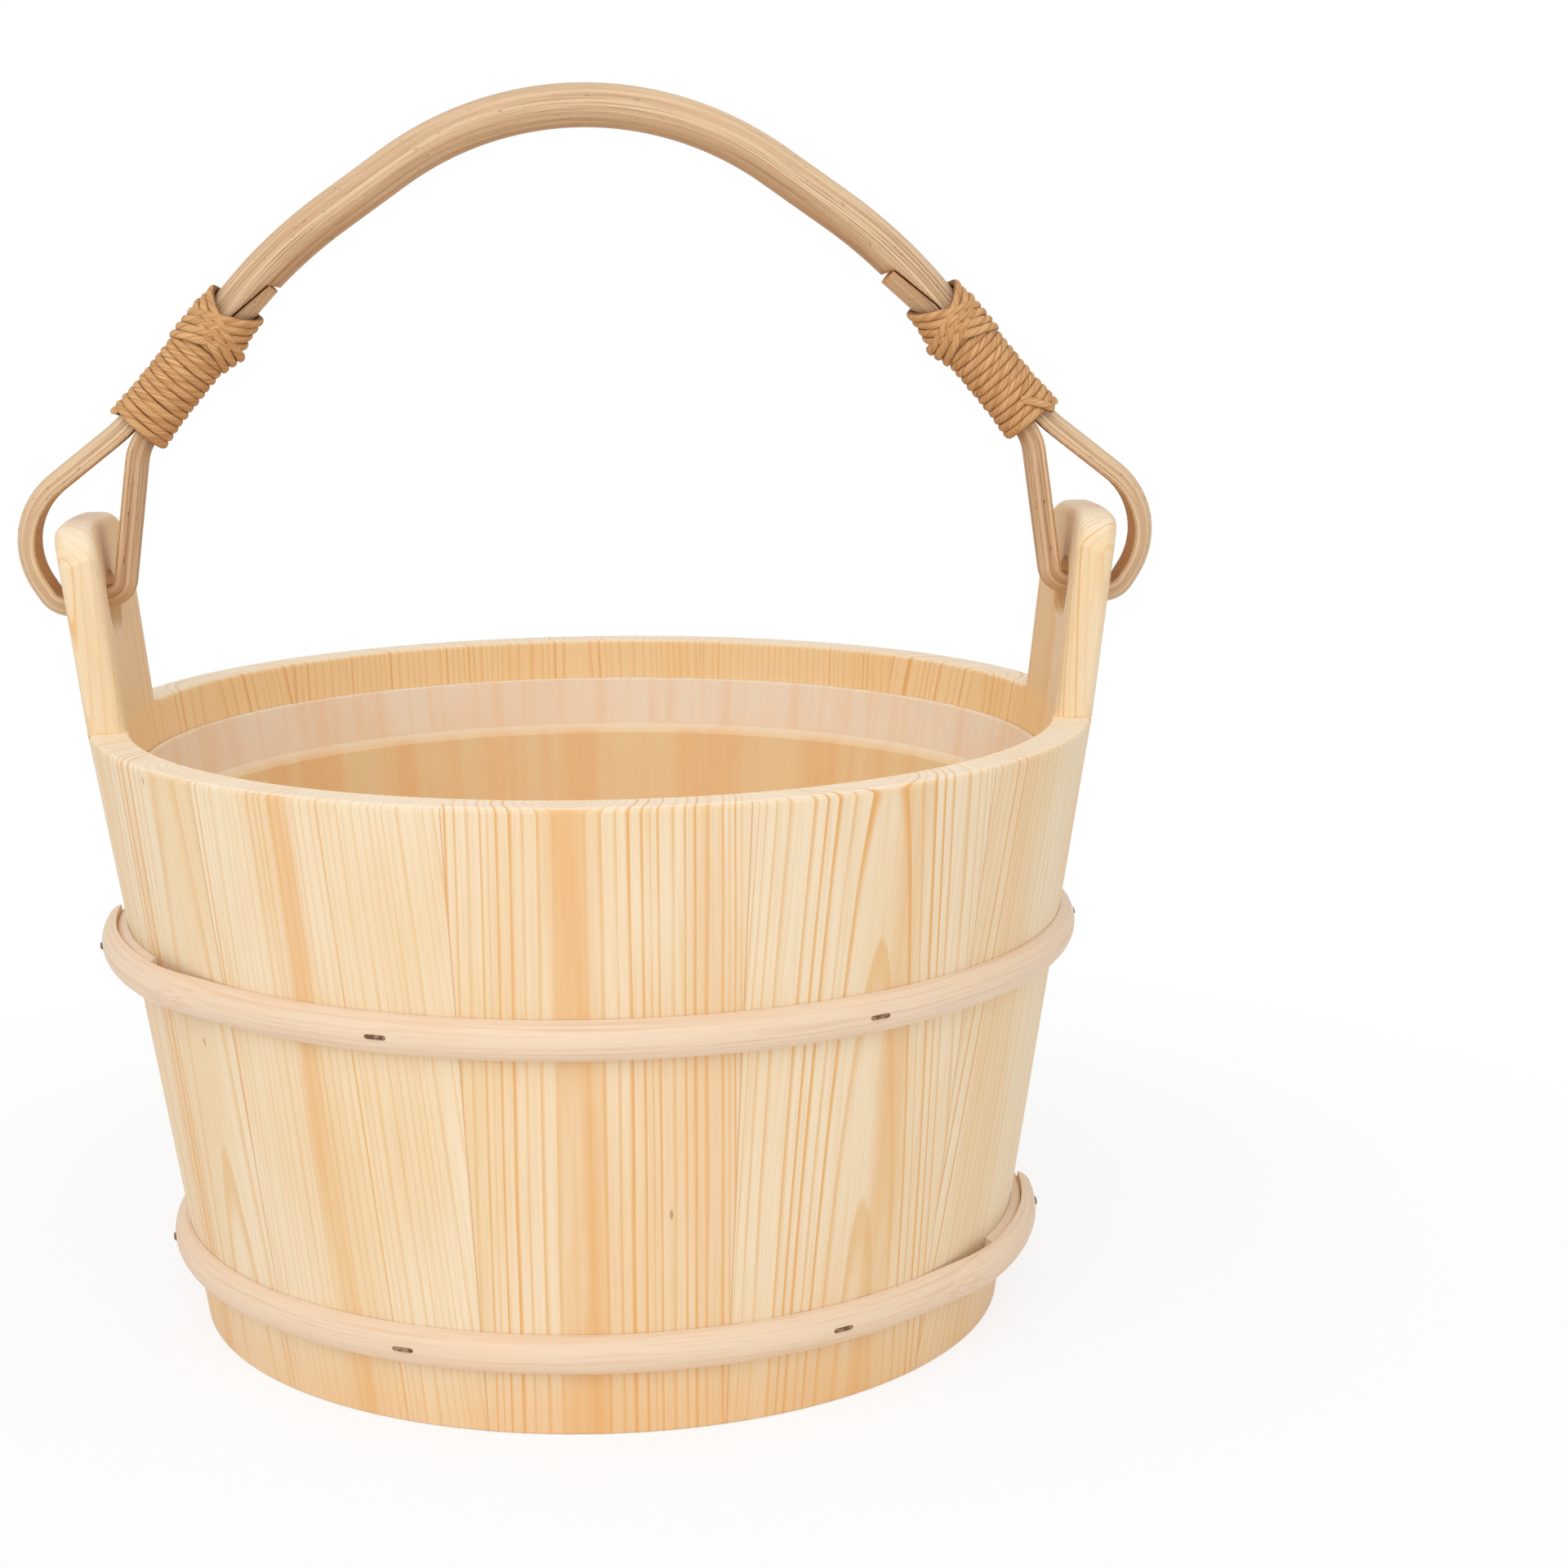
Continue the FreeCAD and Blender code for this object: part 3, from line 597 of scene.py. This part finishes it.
ARC_TURN = 0.10  # the most that an arc turns from point to point, in radians
SAME_POINT = 1e-7
PLACE_DIGITS = 7  # decimals to which the corners of a collapsed face agree


def link_object(scene, name, data):
    made = bpy.data.objects.new(name, data)
    scene.collection.objects.link(made)
    return made


def mirror_x(point, side):
    return Vector((point.x * side, point.y, point.z))


def along_lashing(distance):
    """A point on the right lashing's axis above the crotch."""
    return CROTCH + LASHING_AXIS * distance


def fillet_line(points, radii, step):
    """Closely spaced points along straight runs joined by arcs, one radius for each corner."""
    line = [points[0]]
    for before, corner, after, radius in zip(points, points[1:], points[2:], radii):
        to_before = (before - corner).normalized()
        to_after = (after - corner).normalized()
        half = to_before.angle(to_after) / 2
        reach = radius / math.tan(half)
        centre = corner + (to_before + to_after).normalized() * (radius / math.sin(half))
        start = corner + to_before * reach - centre
        end = corner + to_after * reach - centre
        turn = start.angle(end)
        count = max(2, math.ceil(turn * radius / step), math.ceil(turn / ARC_TURN))
        axis = start.cross(end).normalized()
        line += [centre + Matrix.Rotation(turn * k / count, 3, axis) @ start
                 for k in range(count + 1)]
    line.append(points[-1])
    even = [line[0]]
    for point in line[1:]:
        gap = (point - even[-1]).length
        if gap < SAME_POINT:
            continue
        count = math.ceil(gap / step)
        even += [even[-1].lerp(point, (k + 1) / count) for k in range(count)]
    return even


def walk(line):
    """Each point of a line with the direction there and the distance run up to it."""
    run = 0.0
    for index, point in enumerate(line):
        before = line[max(index - 1, 0)]
        after = line[min(index + 1, len(line) - 1)]
        run += (point - before).length
        yield point, (after - before).normalized(), run


def round_turns(count):
    """Evenly spaced angles round a strand."""
    return [math.tau * step / count for step in range(count)]


class Skin:
    """A mesh built ring by ring, with lengthwise and roundabout places for its material."""

    def __init__(self):
        self.mesh = bmesh.new()
        self.uv = self.mesh.loops.layers.uv.new("run")
        self.flat = self.mesh.verts.layers.float.new("shaved")

    def strand(self, rings, runs, shaved=()):
        """Joins rings of points. runs are their distances along, shaved marks points on a cut."""
        rows = [[self.mesh.verts.new(point) for point in ring] for ring in rings]
        for row, marks in zip(rows, shaved):
            for vert, mark in zip(row, marks):
                vert[self.flat] = mark
        count = len(rows[0])
        for row, next_row, run, next_run in zip(rows, rows[1:], runs, runs[1:]):
            for side in range(count):
                after = (side + 1) % count
                corners = [row[side], row[after], next_row[after], next_row[side]]
                if len({tuple(round(c, PLACE_DIGITS) for c in v.co) for v in corners}) < 3:
                    continue
                face = self.mesh.faces.new(corners)
                face.smooth = True
                places = [(run, side), (run, side + 1), (next_run, side + 1), (next_run, side)]
                for loop, (along, turn) in zip(face.loops, places):
                    loop[self.uv].uv = (along, turn / count)
        for row, run in ((rows[0][::-1], runs[0]), (rows[-1], runs[-1])):
            for loop in self.mesh.faces.new(row).loops:
                loop[self.uv].uv = (run, 0.0)
                loop.vert[self.flat] = 1.0

    def finish(self, name, material, slot, body, *nodes):
        """Turns the skin into a piece that stands for the CAD nodes."""
        bmesh.ops.recalc_face_normals(self.mesh, faces=self.mesh.faces)
        mesh = bpy.data.meshes.new(name)
        self.mesh.to_mesh(mesh)
        self.mesh.free()
        mesh.materials.append(material)
        piece = link_object(bpy.context.scene, name, mesh)
        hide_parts(*nodes)
        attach(piece, body)
        return piece


# Bail. Distances are up the lashing's axis from the crotch. Side is 1 for the right end and -1 for
# the left one, and pairs of X and Z are on the right.

SCARF_ROOT = 0.030
TONGUE_FREE = 0.0415
TONGUE_LENGTHS = {1: 0.0548, -1: 0.0517}
TONGUE_TIPS = {1: 0.0041, -1: 0.0024}
TONGUE_LIFTS = {1: 0.0019, -1: 0.0005}
TONGUE_GAP = 0.0004
HALF_GAP = TONGUE_GAP / 2
UNCUT = -1.0  # an offset beyond the cane, so that nothing is cut
CROWN_MIDDLE = 0.05  # half the width over which the crown is surely whole
LOOP_DOWN_RUN = 0.08  # the loop's run before it comes up to the lashing again
BEND = Vector((0.077861, 0.0, 0.275977))
APEX = Vector((0.0, 0.0, 0.330582))
BEND_RADIUS = 0.130
CROWN_RADIUS = 0.083925
LOOP_POINTS = [(0.116037, 0.2305), (0.146765, 0.206563), (0.135837, 0.1888), (0.122537, 0.1922),
               (0.117379, 0.228901)]
LOOP_RADII = [0.050, 0.0168, 0.0037, 0.0020, 0.017, 0.012]
CROWN_STEP = 0.0016
LOOP_STEP = 0.0014
CANE_SIDES = 40
CROWN_SEED = 5.0
LOOP_SEED = 9.0
SWELL_SHARE = 0.024
SHAVED_LEAST = 1e-6  # a cut that moves a point less than this leaves the bark on
# Distances from the middle within which the crown's top is pale, partly from wear and partly as
# painted light
WORN_AND_LIT_CROWN = (0.035, 0.085)
BARK_RELIEF = 0.0006


def share_between(low, high, value):
    """How far a value has come from low to high, from 0 to 1."""
    return min(max((value - low) / (high - low), 0.0), 1.0)


def bevel(side, distance, radius):
    """How far the tongue's cut face lies from the middle of the tongue."""
    run = share_between(SCARF_ROOT, TONGUE_LENGTHS[side], distance)
    return HALF_GAP + (radius - HALF_GAP - TONGUE_TIPS[side]) * run


def tongue_lift(side, distance):
    """How far the tongue springs away from the cane past the lashing."""
    return TONGUE_LIFTS[side] * share_between(TONGUE_FREE, TONGUE_LENGTHS[side], distance)


def swell(run, turn, seed):
    """Small unevenness of the bark, from -1 to 1: long ridges, short ones and a slow swelling.

    The factors are waves round the cane and waves per metre along it.
    """
    c, s = math.cos(turn), math.sin(turn)
    ridge = noise.noise(Vector((c * 2.6, s * 2.6, run * 7 + seed)))
    fine = noise.noise(Vector((c * 7, s * 7, run * 26 + seed * 2)))
    slow = noise.noise(Vector((run * 34, seed, 0.0)))
    return 0.50 * ridge + 0.25 * fine + 0.25 * slow


def cane_rings(line, side, radius, seed, cut):
    """Rings of the cane along a line. cut gives the least offset outward at a point of the line."""
    rings, runs, shaved = [], [], []
    for point, tangent, run in walk(line):
        outward = Vector((tangent.z, 0.0, -tangent.x)) * side
        least = cut(point, run)
        ring, marks = [], []
        for turn in round_turns(CANE_SIDES):
            size = radius * (1 - SWELL_SHARE * (0.5 - 0.5 * swell(run, turn, seed)))
            offset = size * math.cos(turn)
            held = max(offset, least)
            ring.append(point + outward * held + Vector((0.0, size * math.sin(turn), 0.0)))
            marks.append(float(held - offset > SHAVED_LEAST))
        rings.append(ring)
        runs.append(run)
        shaved.append(marks)
    return rings, runs, shaved


def bail_skin(bail):
    """The whole cane: the round crown and both halved ends with their tongues."""
    skin = Skin()
    radius = bail.radius
    foot = along_lashing(SCARF_ROOT)

    def crown_cut(point, _run):
        """The crown's ends are bevelled to lie on the tongues."""
        end = 1 if point.x > 0 else -1
        from_crotch = mirror_x(point, end) - CROTCH
        distance = from_crotch.dot(LASHING_AXIS)
        if distance > TONGUE_LENGTHS[end] + TONGUE_GAP or abs(point.x) < CROWN_MIDDLE:
            return UNCUT
        aside = from_crotch.dot(LASHING_NORMAL)
        return TONGUE_GAP - aside - bevel(end, distance, radius) - tongue_lift(end, distance)

    crown = [foot, BEND, APEX, mirror_x(BEND, -1), mirror_x(foot, -1)]
    line = fillet_line(crown, [BEND_RADIUS, CROWN_RADIUS, BEND_RADIUS], CROWN_STEP)
    skin.strand(*cane_rings(line, 1, radius, CROWN_SEED, crown_cut))

    for side in (1, -1):
        def loop_cut(point, run):
            """The loop is half a cane, and its tongue thins out from the scarf's root."""
            if run < LOOP_DOWN_RUN:
                return HALF_GAP
            return bevel(side, (mirror_x(point, side) - CROTCH).dot(LASHING_AXIS), radius)

        points = [foot, *(Vector((x, 0.0, z)) for x, z in LOOP_POINTS), along_lashing(TONGUE_FREE),
                  along_lashing(TONGUE_LENGTHS[side]) - LASHING_NORMAL * TONGUE_LIFTS[side]]
        line = fillet_line([mirror_x(point, side) for point in points], LOOP_RADII, LOOP_STEP)
        skin.strand(*cane_rings(line, -side, radius, LOOP_SEED + side, loop_cut))
    return skin


def cane_bark(bail):
    """Bark of the cane: lengthwise streaks, ridges and specks, and a warmer shaved face."""
    finish = Finish("cane_bail", IOR=1.48, Specular_IOR_Level=0.35)
    u, v = finish.strand_place()
    x, y, z = finish.place()
    angle = v * math.tau
    c, s = angle.cosine(), angle.sine()
    streak = finish.noise(c * 3.4, s * 3.4, u * 9, detail=4.0, roughness=0.65)
    fine = finish.noise(c * 14, s * 14, u * 22, detail=3.0, roughness=0.6)
    band = finish.noise(c * 0.8, s * 0.8, u * 22)
    speck = finish.noise(c * 7, s * 7, u * 520)
    fuzz = finish.noise(x * 900, y * 2600, z * 900, detail=3.0)
    body = finish.mix(streak.rise(0.42, 0.60), bail.bark, bail.pale)
    body = finish.mix(fine.rise(0.52, 0.66) * 0.85, body, bail.dark)
    body = finish.mix(band.rise(0.52, 0.80) * 0.35, body, bail.dark)
    body = finish.mix(speck.rise(0.66, 0.74) * 0.75, body, bail.speck)
    # Painted shade: the bark darkens towards the inner side of the bend, the underside of the
    # crown.
    body = finish.mix((1 - c.rise(-1.0, 0.3)) * 0.25, body, bail.dark)
    # Painted light: the outer side of the cane is paler, and so is the crown's top, partly from
    # wear and partly as painted light.
    worn_and_lit_crown = 1 - abs(x).rise(*WORN_AND_LIT_CROWN)
    body = finish.mix(c.rise(0.1, 1.0) * 0.22 + worn_and_lit_crown * 0.28, body, bail.pale)
    shaved = finish.node("ShaderNodeAttribute", {"attribute_name": "shaved"}, output="Fac")
    cut_face = finish.mix(fuzz.rise(0.40, 0.70) * 0.6, bail.shaved, bail.pale)
    body = finish.mix(shaved, body, cut_face)
    finish.give(Base_Color=body, Roughness=0.44 + fine * 0.22 + shaved * 0.2)
    relief = streak * 0.4 + fine * 0.4 + speck * 0.15 + fuzz * shaved * 0.3
    finish.bump(relief, BARK_RELIEF, 0.9)
    return finish.material


# Lashings. Places are distances up the axis from the crotch, and lifts add to the radius.

LASHING_SEEDS = {1: 3.0, -1: 8.0}
TWINE_LAYER_RADIUS = 0.0069
LASHING_START = 0.0016
LASHING_FLARE = 0.0006
FLARE_REACH = 0.012
CROSSING_MIDDLE = 0.0345
CROSSING_REACH = 0.0090
CROSSING_SPREAD = 0.0072
CROSSING_LIFT = 0.0008  # over the close turns
CROSSING_PILE = 0.0013  # the most that the passes pile up in front
LAYER_END = (-0.0015, 0.0015)  # where the crossing comes down, from the last close turn
KNOT_PLACE = 0.0320
KNOT_WIDTH = 0.0022
KNOT_LIFT = 0.0014
UNEVEN_PLACE = 0.00014
UNEVEN_LIFT = 0.00012
# Place, share of a turn and lift of the tail's points
TAIL_PLACES = [(0.0085, 0.76, 0.0002), (0.0062, 0.80, 0.0013), (0.0036, 0.83, 0.0016),
               (0.0012, 0.87, 0.0010)]
TAIL_BEND = 0.0020
TAIL_STEP = 0.0006
TWINE_SIDES = 12
TWINE_STEPS_PER_TURN = 40
TWIST_PER_METRE = 520
TWIST_LOBE = 0.07
TWIST_SLACK = 0.03
FIBRE_TURNS_PER_METRE = 80
TWINE_RELIEF = 0.0003


def smooth(share):
    share = min(max(share, 0.0), 1.0)
    return share * share * (3 - 2 * share)


def crossing_ends(index, twine):
    """Where a slanting turn starts and ends on the front. Odd ones run up, even ones down."""
    spread = CROSSING_SPREAD * (index / (twine.passes - 1) - 0.5)
    half = CROSSING_REACH / 2 * (1 if index % 2 else -1)
    return CROSSING_MIDDLE + spread - half, CROSSING_MIDDLE + spread + half


def twine_place(turns, twine, rough):
    """Distance up the lashing and radius of the twine's middle after so many turns."""
    distance = LASHING_START + twine.step * min(turns, twine.turns)
    radius = TWINE_LAYER_RADIUS + LASHING_FLARE * (1 - smooth(distance / FLARE_REACH))
    over = turns - twine.turns
    if over > 0:
        # Half of each turn lies behind and leads to the next start, and half crosses in front
        index = min(int(over), twine.passes - 1)
        within = over - index
        low, high = crossing_ends(index, twine)
        before = crossing_ends(index - 1, twine)[1] if index else distance
        if within < 0.5:
            distance = before + (low - before) * smooth(within / 0.5)
        else:
            share = (within - 0.5) / 0.5
            distance = low + (high - low) * (0.35 * share + 0.65 * smooth(share))
        begun = smooth(over / 0.5)
        in_front = max(-math.sin(math.tau * turns), 0.0)
        inside = max(-math.cos(math.tau * turns), 0.0)
        past_layer = distance - LASHING_START - twine.step * twine.turns
        covered = 1 - smooth((past_layer - LAYER_END[0]) / (LAYER_END[1] - LAYER_END[0]))
        radius += CROSSING_LIFT * begun * (0.3 + 0.7 * covered)
        radius += CROSSING_PILE * in_front ** 2 * (0.35 + 0.65 * index / twine.passes) * begun
        radius += KNOT_LIFT * inside ** 4 * math.exp(-((distance - KNOT_PLACE) / KNOT_WIDTH) ** 2)
    distance += UNEVEN_PLACE * noise.noise(Vector((turns * 0.9, rough, 0.0)))
    radius += UNEVEN_LIFT * noise.noise(Vector((turns * 1.7, rough, 4.0)))
    return distance, radius


def round_lashing(distance, radius, turns, side):
    """A point round the lashing, turned from its outer side towards the back."""
    turn = math.tau * turns
    spoke = LASHING_NORMAL * (radius * math.cos(turn)) + Vector((0.0, radius * math.sin(turn), 0.0))
    return mirror_x(along_lashing(distance) + spoke, side)


def twine_rings(points, side, twine, rough):
    """Rings of the flattened, twisted twine along its points."""
    rings, runs = [], []
    axis = mirror_x(LASHING_AXIS, side)
    crotch = mirror_x(CROTCH, side)
    for point, tangent, run in walk(points):
        spoke = (point - crotch) - axis * (point - crotch).dot(axis)
        outward = (spoke - tangent * spoke.dot(tangent)).normalized()
        sideways = tangent.cross(outward)
        twist = run * TWIST_PER_METRE + rough
        ring = []
        for turn in round_turns(TWINE_SIDES):
            lobe = 1 + TWIST_LOBE * math.cos(2 * turn + twist) - TWIST_SLACK
            ring.append(point + outward * (twine.thickness / 2 * lobe * math.cos(turn))
                        + sideways * (twine.width / 2 * lobe * math.sin(turn)))
        rings.append(ring)
        runs.append(run)
    return rings, runs


def lashing_skin(side, twine):
    """One twine: close turns, then slanting ones that cross in front. The right one has a tail."""
    rough = LASHING_SEEDS[side]
    skin = Skin()
    steps = (twine.turns + twine.passes) * TWINE_STEPS_PER_TURN
    places = [step / TWINE_STEPS_PER_TURN for step in range(steps + 1)]
    wound = [round_lashing(*twine_place(turns, twine, rough), turns, side) for turns in places]
    skin.strand(*twine_rings(wound, side, twine, rough))
    if side > 0:
        tail = [round_lashing(distance, TWINE_LAYER_RADIUS + lift, turns, side)
                for distance, turns, lift in TAIL_PLACES]
        tail = fillet_line(tail, [TAIL_BEND] * (len(tail) - 2), TAIL_STEP)
        skin.strand(*twine_rings(tail, side, twine, rough))
    return skin


def twisted_twine(twine):
    """Paper-like twine whose fibres run slantwise along it."""
    finish = Finish("twine", IOR=1.45, Specular_IOR_Level=0.25)
    u, v = finish.strand_place()
    angle = (v + u * FIBRE_TURNS_PER_METRE) * math.tau
    c, s = angle.cosine(), angle.sine()
    ply = finish.noise(c * 1.4, s * 1.4, u * 30, detail=3.0)
    fibre = finish.noise(c * 5, s * 5, u * 60, detail=3.0, roughness=0.6)
    patch = finish.noise(u * 60, 0.0, 0.0)
    body = finish.mix(fibre.rise(0.35, 0.65), twine.dark, twine.light)
    body = finish.mix(ply.rise(0.50, 0.75) * 0.45, body, twine.pale)
    body = finish.mix(patch.rise(0.50, 0.80) * 0.4, body, twine.dull)
    # Painted shade: the twine darkens towards the sides and inner face of its section, where it
    # meets the next turn and the cane.
    between = 1 - (v * math.tau).cosine().rise(0.0, 0.70)
    body = finish.mix(between * 0.80, body, twine.gap)
    finish.give(Base_Color=body, Roughness=0.62 + fibre * 0.15)
    finish.bump(fibre * 0.6 + ply * 0.4, TWINE_RELIEF, 0.8)
    return finish.material


# Stage

SENSOR_WIDTH = 36.0
CLIP_END = 100.0
FLOOR_REACH = 12.0
FLOOR_COLOUR = (0.96, 0.96, 0.96)
FLOOR_GLOW = 0.78  # below the pail
FULL_GLOW = (0.14, 0.42)  # distances from the pail's axis between which the glow rises to 1
LAMP_SIZE = (2.2, 1.4)
LAMP_PLACE = Vector((-0.35, -1.70, 1.60))
LAMP_TARGET = Vector((0.0, 0.0, 0.12))


def camera_turn(stage):
    """The camera's axes from its pitch, yaw and roll."""
    p, w, r = stage.pitch, stage.yaw, stage.roll
    forward = Vector((math.sin(w) * math.cos(p), math.cos(w) * math.cos(p), -math.sin(p)))
    level = Vector((math.cos(w), -math.sin(w), 0.0))
    raised = Vector((math.sin(w) * math.sin(p), math.cos(w) * math.sin(p), math.cos(p)))
    right = level * math.cos(r) - raised * math.sin(r)
    up = level * math.sin(r) + raised * math.cos(r)
    return Matrix((right, up, -forward)).transposed()


def add_camera(scene, stage):
    data = bpy.data.cameras.new("camera")
    data.lens = stage.lens
    data.sensor_width = SENSOR_WIDTH
    data.clip_end = CLIP_END
    camera = link_object(scene, "camera", data)
    camera.matrix_world = Matrix.Translation(stage.camera_place) @ camera_turn(stage).to_4x4()
    scene.camera = camera


def seen_share(nodes):
    """1 for what the camera sees, straight, mirrored or through the plastic, and 0 for light."""
    straight = nodes.node("ShaderNodeLightPath", output="Is Camera Ray")
    mirrored = straight.beside("Is Glossy Ray")
    return straight.at_least(mirrored).at_least(straight.beside("Is Transmission Ray"))


def add_floor(scene):
    """A white floor that is lit by itself, less near the pail, so that a soft shadow stays."""
    mesh = bpy.data.meshes.new("floor")
    corners = [(-1, -1), (1, -1), (1, 1), (-1, 1)]
    mesh.from_pydata([(x * FLOOR_REACH, y * FLOOR_REACH, 0) for x, y in corners], [],
                     [(0, 1, 2, 3)])
    floor = link_object(scene, "floor", mesh)
    finish = Finish("white_floor", Base_Color=FLOOR_COLOUR, Roughness=0.9, Specular_IOR_Level=0.0)
    glow = finish.node("ShaderNodeEmission", values={"Color": WHITE, "Strength": 1.0})
    x, y, _ = finish.place()
    away = (x * x + y * y).root().rise(*FULL_GLOW)
    share = seen_share(finish) * (FLOOR_GLOW + away * (1 - FLOOR_GLOW))
    lit = Wire(finish, finish.shader.outputs[0])
    surface = finish.node("ShaderNodeMixShader", values={0: share, 1: lit, 2: glow})
    finish.feed(finish.tree.nodes["Material Output"].inputs["Surface"], surface)
    mesh.materials.append(finish.material)


def add_sky(scene, stage):
    """Even light from all round, which the camera sees as pure white."""
    world = bpy.data.worlds.new("even_light")
    scene.world = world
    world.use_nodes = True
    nodes = Nodes(world.node_tree)
    background = nodes.tree.nodes["Background"]
    nodes.feed(background.inputs["Color"], WHITE)
    nodes.feed(background.inputs["Strength"], seen_share(nodes) * (1.0 - stage.sky) + stage.sky)


def add_lamp(scene, stage):
    data = bpy.data.lights.new("window", "AREA")
    data.shape = "RECTANGLE"
    data.size, data.size_y = LAMP_SIZE
    data.energy = stage.window
    lamp = link_object(scene, "window", data)
    lamp.location = LAMP_PLACE
    lamp.rotation_euler = (LAMP_TARGET - LAMP_PLACE).to_track_quat("-Z", "Y").to_euler()


# Operators, one for each piece or group of like pieces

class PailStaves(bpy.types.Operator):
    """Give each stave and ear stave its pine"""
    bl_idname = "pail.staves"
    bl_label = "Staves"

    def execute(self, context):
        for name, grain in STAVE_GRAIN.items():
            dress(name, pine_stave(name, grain, context.scene.pail.pine))
        return {"FINISHED"}


class PailBottom(bpy.types.Operator):
    """Give each bottom board its pine"""
    bl_idname = "pail.bottom"
    bl_label = "Bottom boards"

    def execute(self, context):
        boards = sorted(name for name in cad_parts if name.startswith("bottom_board"))
        for index, name in enumerate(boards):
            dress(name, pine_board(name, index, context.scene.pail.pine))
        return {"FINISHED"}


class PailHoops(bpy.types.Operator):
    """Give both hoops their split cane"""
    bl_idname = "pail.hoops"
    bl_label = "Hoops"

    def execute(self, context):
        for name, seed in HOOP_SEEDS.items():
            dress(name, cane_hoop(name, seed, context.scene.pail.hoop))
        return {"FINISHED"}


class PailStaples(bpy.types.Operator):
    """Give the staples their rusty wire"""
    bl_idname = "pail.staples"
    bl_label = "Staples"

    def execute(self, context):
        material = rusty_wire(context.scene.pail.wire)
        for name in ("hoop_staples_upper", "hoop_staples_lower"):
            dress(name, material)
        return {"FINISHED"}


class PailLiner(bpy.types.Operator):
    """Give the liner its frosted plastic"""
    bl_idname = "pail.liner"
    bl_label = "Liner"

    def execute(self, context):
        dress("liner", frosted_plastic(context.scene.pail.liner))
        return {"FINISHED"}


class PailBail(bpy.types.Operator):
    """Build the cane of the bail with its halved ends"""
    bl_idname = "pail.bail"
    bl_label = "Bail"

    def execute(self, context):
        bail = context.scene.pail.bail
        bail_skin(bail).finish("bail_cane_bark", cane_bark(bail), "cane_bail", "bail", "bail_cane")
        return {"FINISHED"}


class PailLashings(bpy.types.Operator):
    """Wind both lashings round the bail's ends"""
    bl_idname = "pail.lashings"
    bl_label = "Lashings"

    def execute(self, context):
        twine = context.scene.pail.twine
        material = twisted_twine(twine)
        for name, side in (("lashing_right", 1), ("lashing_left", -1)):
            lashing_skin(side, twine).finish(name + "_twine", material, "twine", "bail", name)
        return {"FINISHED"}


class PailStage(bpy.types.Operator):
    """Set up the camera, the floor and the light"""
    bl_idname = "pail.stage"
    bl_label = "Stage"

    def execute(self, context):
        scene = context.scene
        scene.view_settings.view_transform = "Standard"
        add_camera(scene, scene.pail.stage)
        add_floor(scene)
        add_sky(scene, scene.pail.stage)
        add_lamp(scene, scene.pail.stage)
        return {"FINISHED"}


OPERATORS = (
    PailStaves, PailBottom, PailHoops, PailStaples, PailLiner, PailBail, PailLashings, PailStage,
)


class PailPanel(bpy.types.Panel):
    """The pail's pieces and their settings"""
    bl_idname = "VIEW3D_PT_pail"
    bl_label = "Pail"
    bl_space_type = "VIEW_3D"
    bl_region_type = "UI"
    bl_category = "Pail"

    def draw(self, context):
        for operator in OPERATORS:
            self.layout.operator(operator.bl_idname)
        for group in PailSettings.__annotations__:
            box = self.layout.box()
            box.label(text=group.capitalize())
            values = getattr(context.scene.pail, group)
            for key in values.__annotations__:
                box.prop(values, key)


CLASSES = (
    PineSettings, HoopSettings, WireSettings, LinerSettings, BailSettings, TwineSettings,
    StageSettings, PailSettings, *OPERATORS, PailPanel,
)


def register():
    for cls in CLASSES:
        bpy.utils.register_class(cls)
    bpy.types.Scene.pail = bpy.props.PointerProperty(type=PailSettings)


def unregister():
    del bpy.types.Scene.pail
    for cls in reversed(CLASSES):
        bpy.utils.unregister_class(cls)


def main():
    register()
    for operator in OPERATORS:
        group, action = operator.bl_idname.split(".")
        getattr(getattr(bpy.ops, group), action)()
    bpy.context.view_layer.update()


if __name__ == "__main__":
    main()
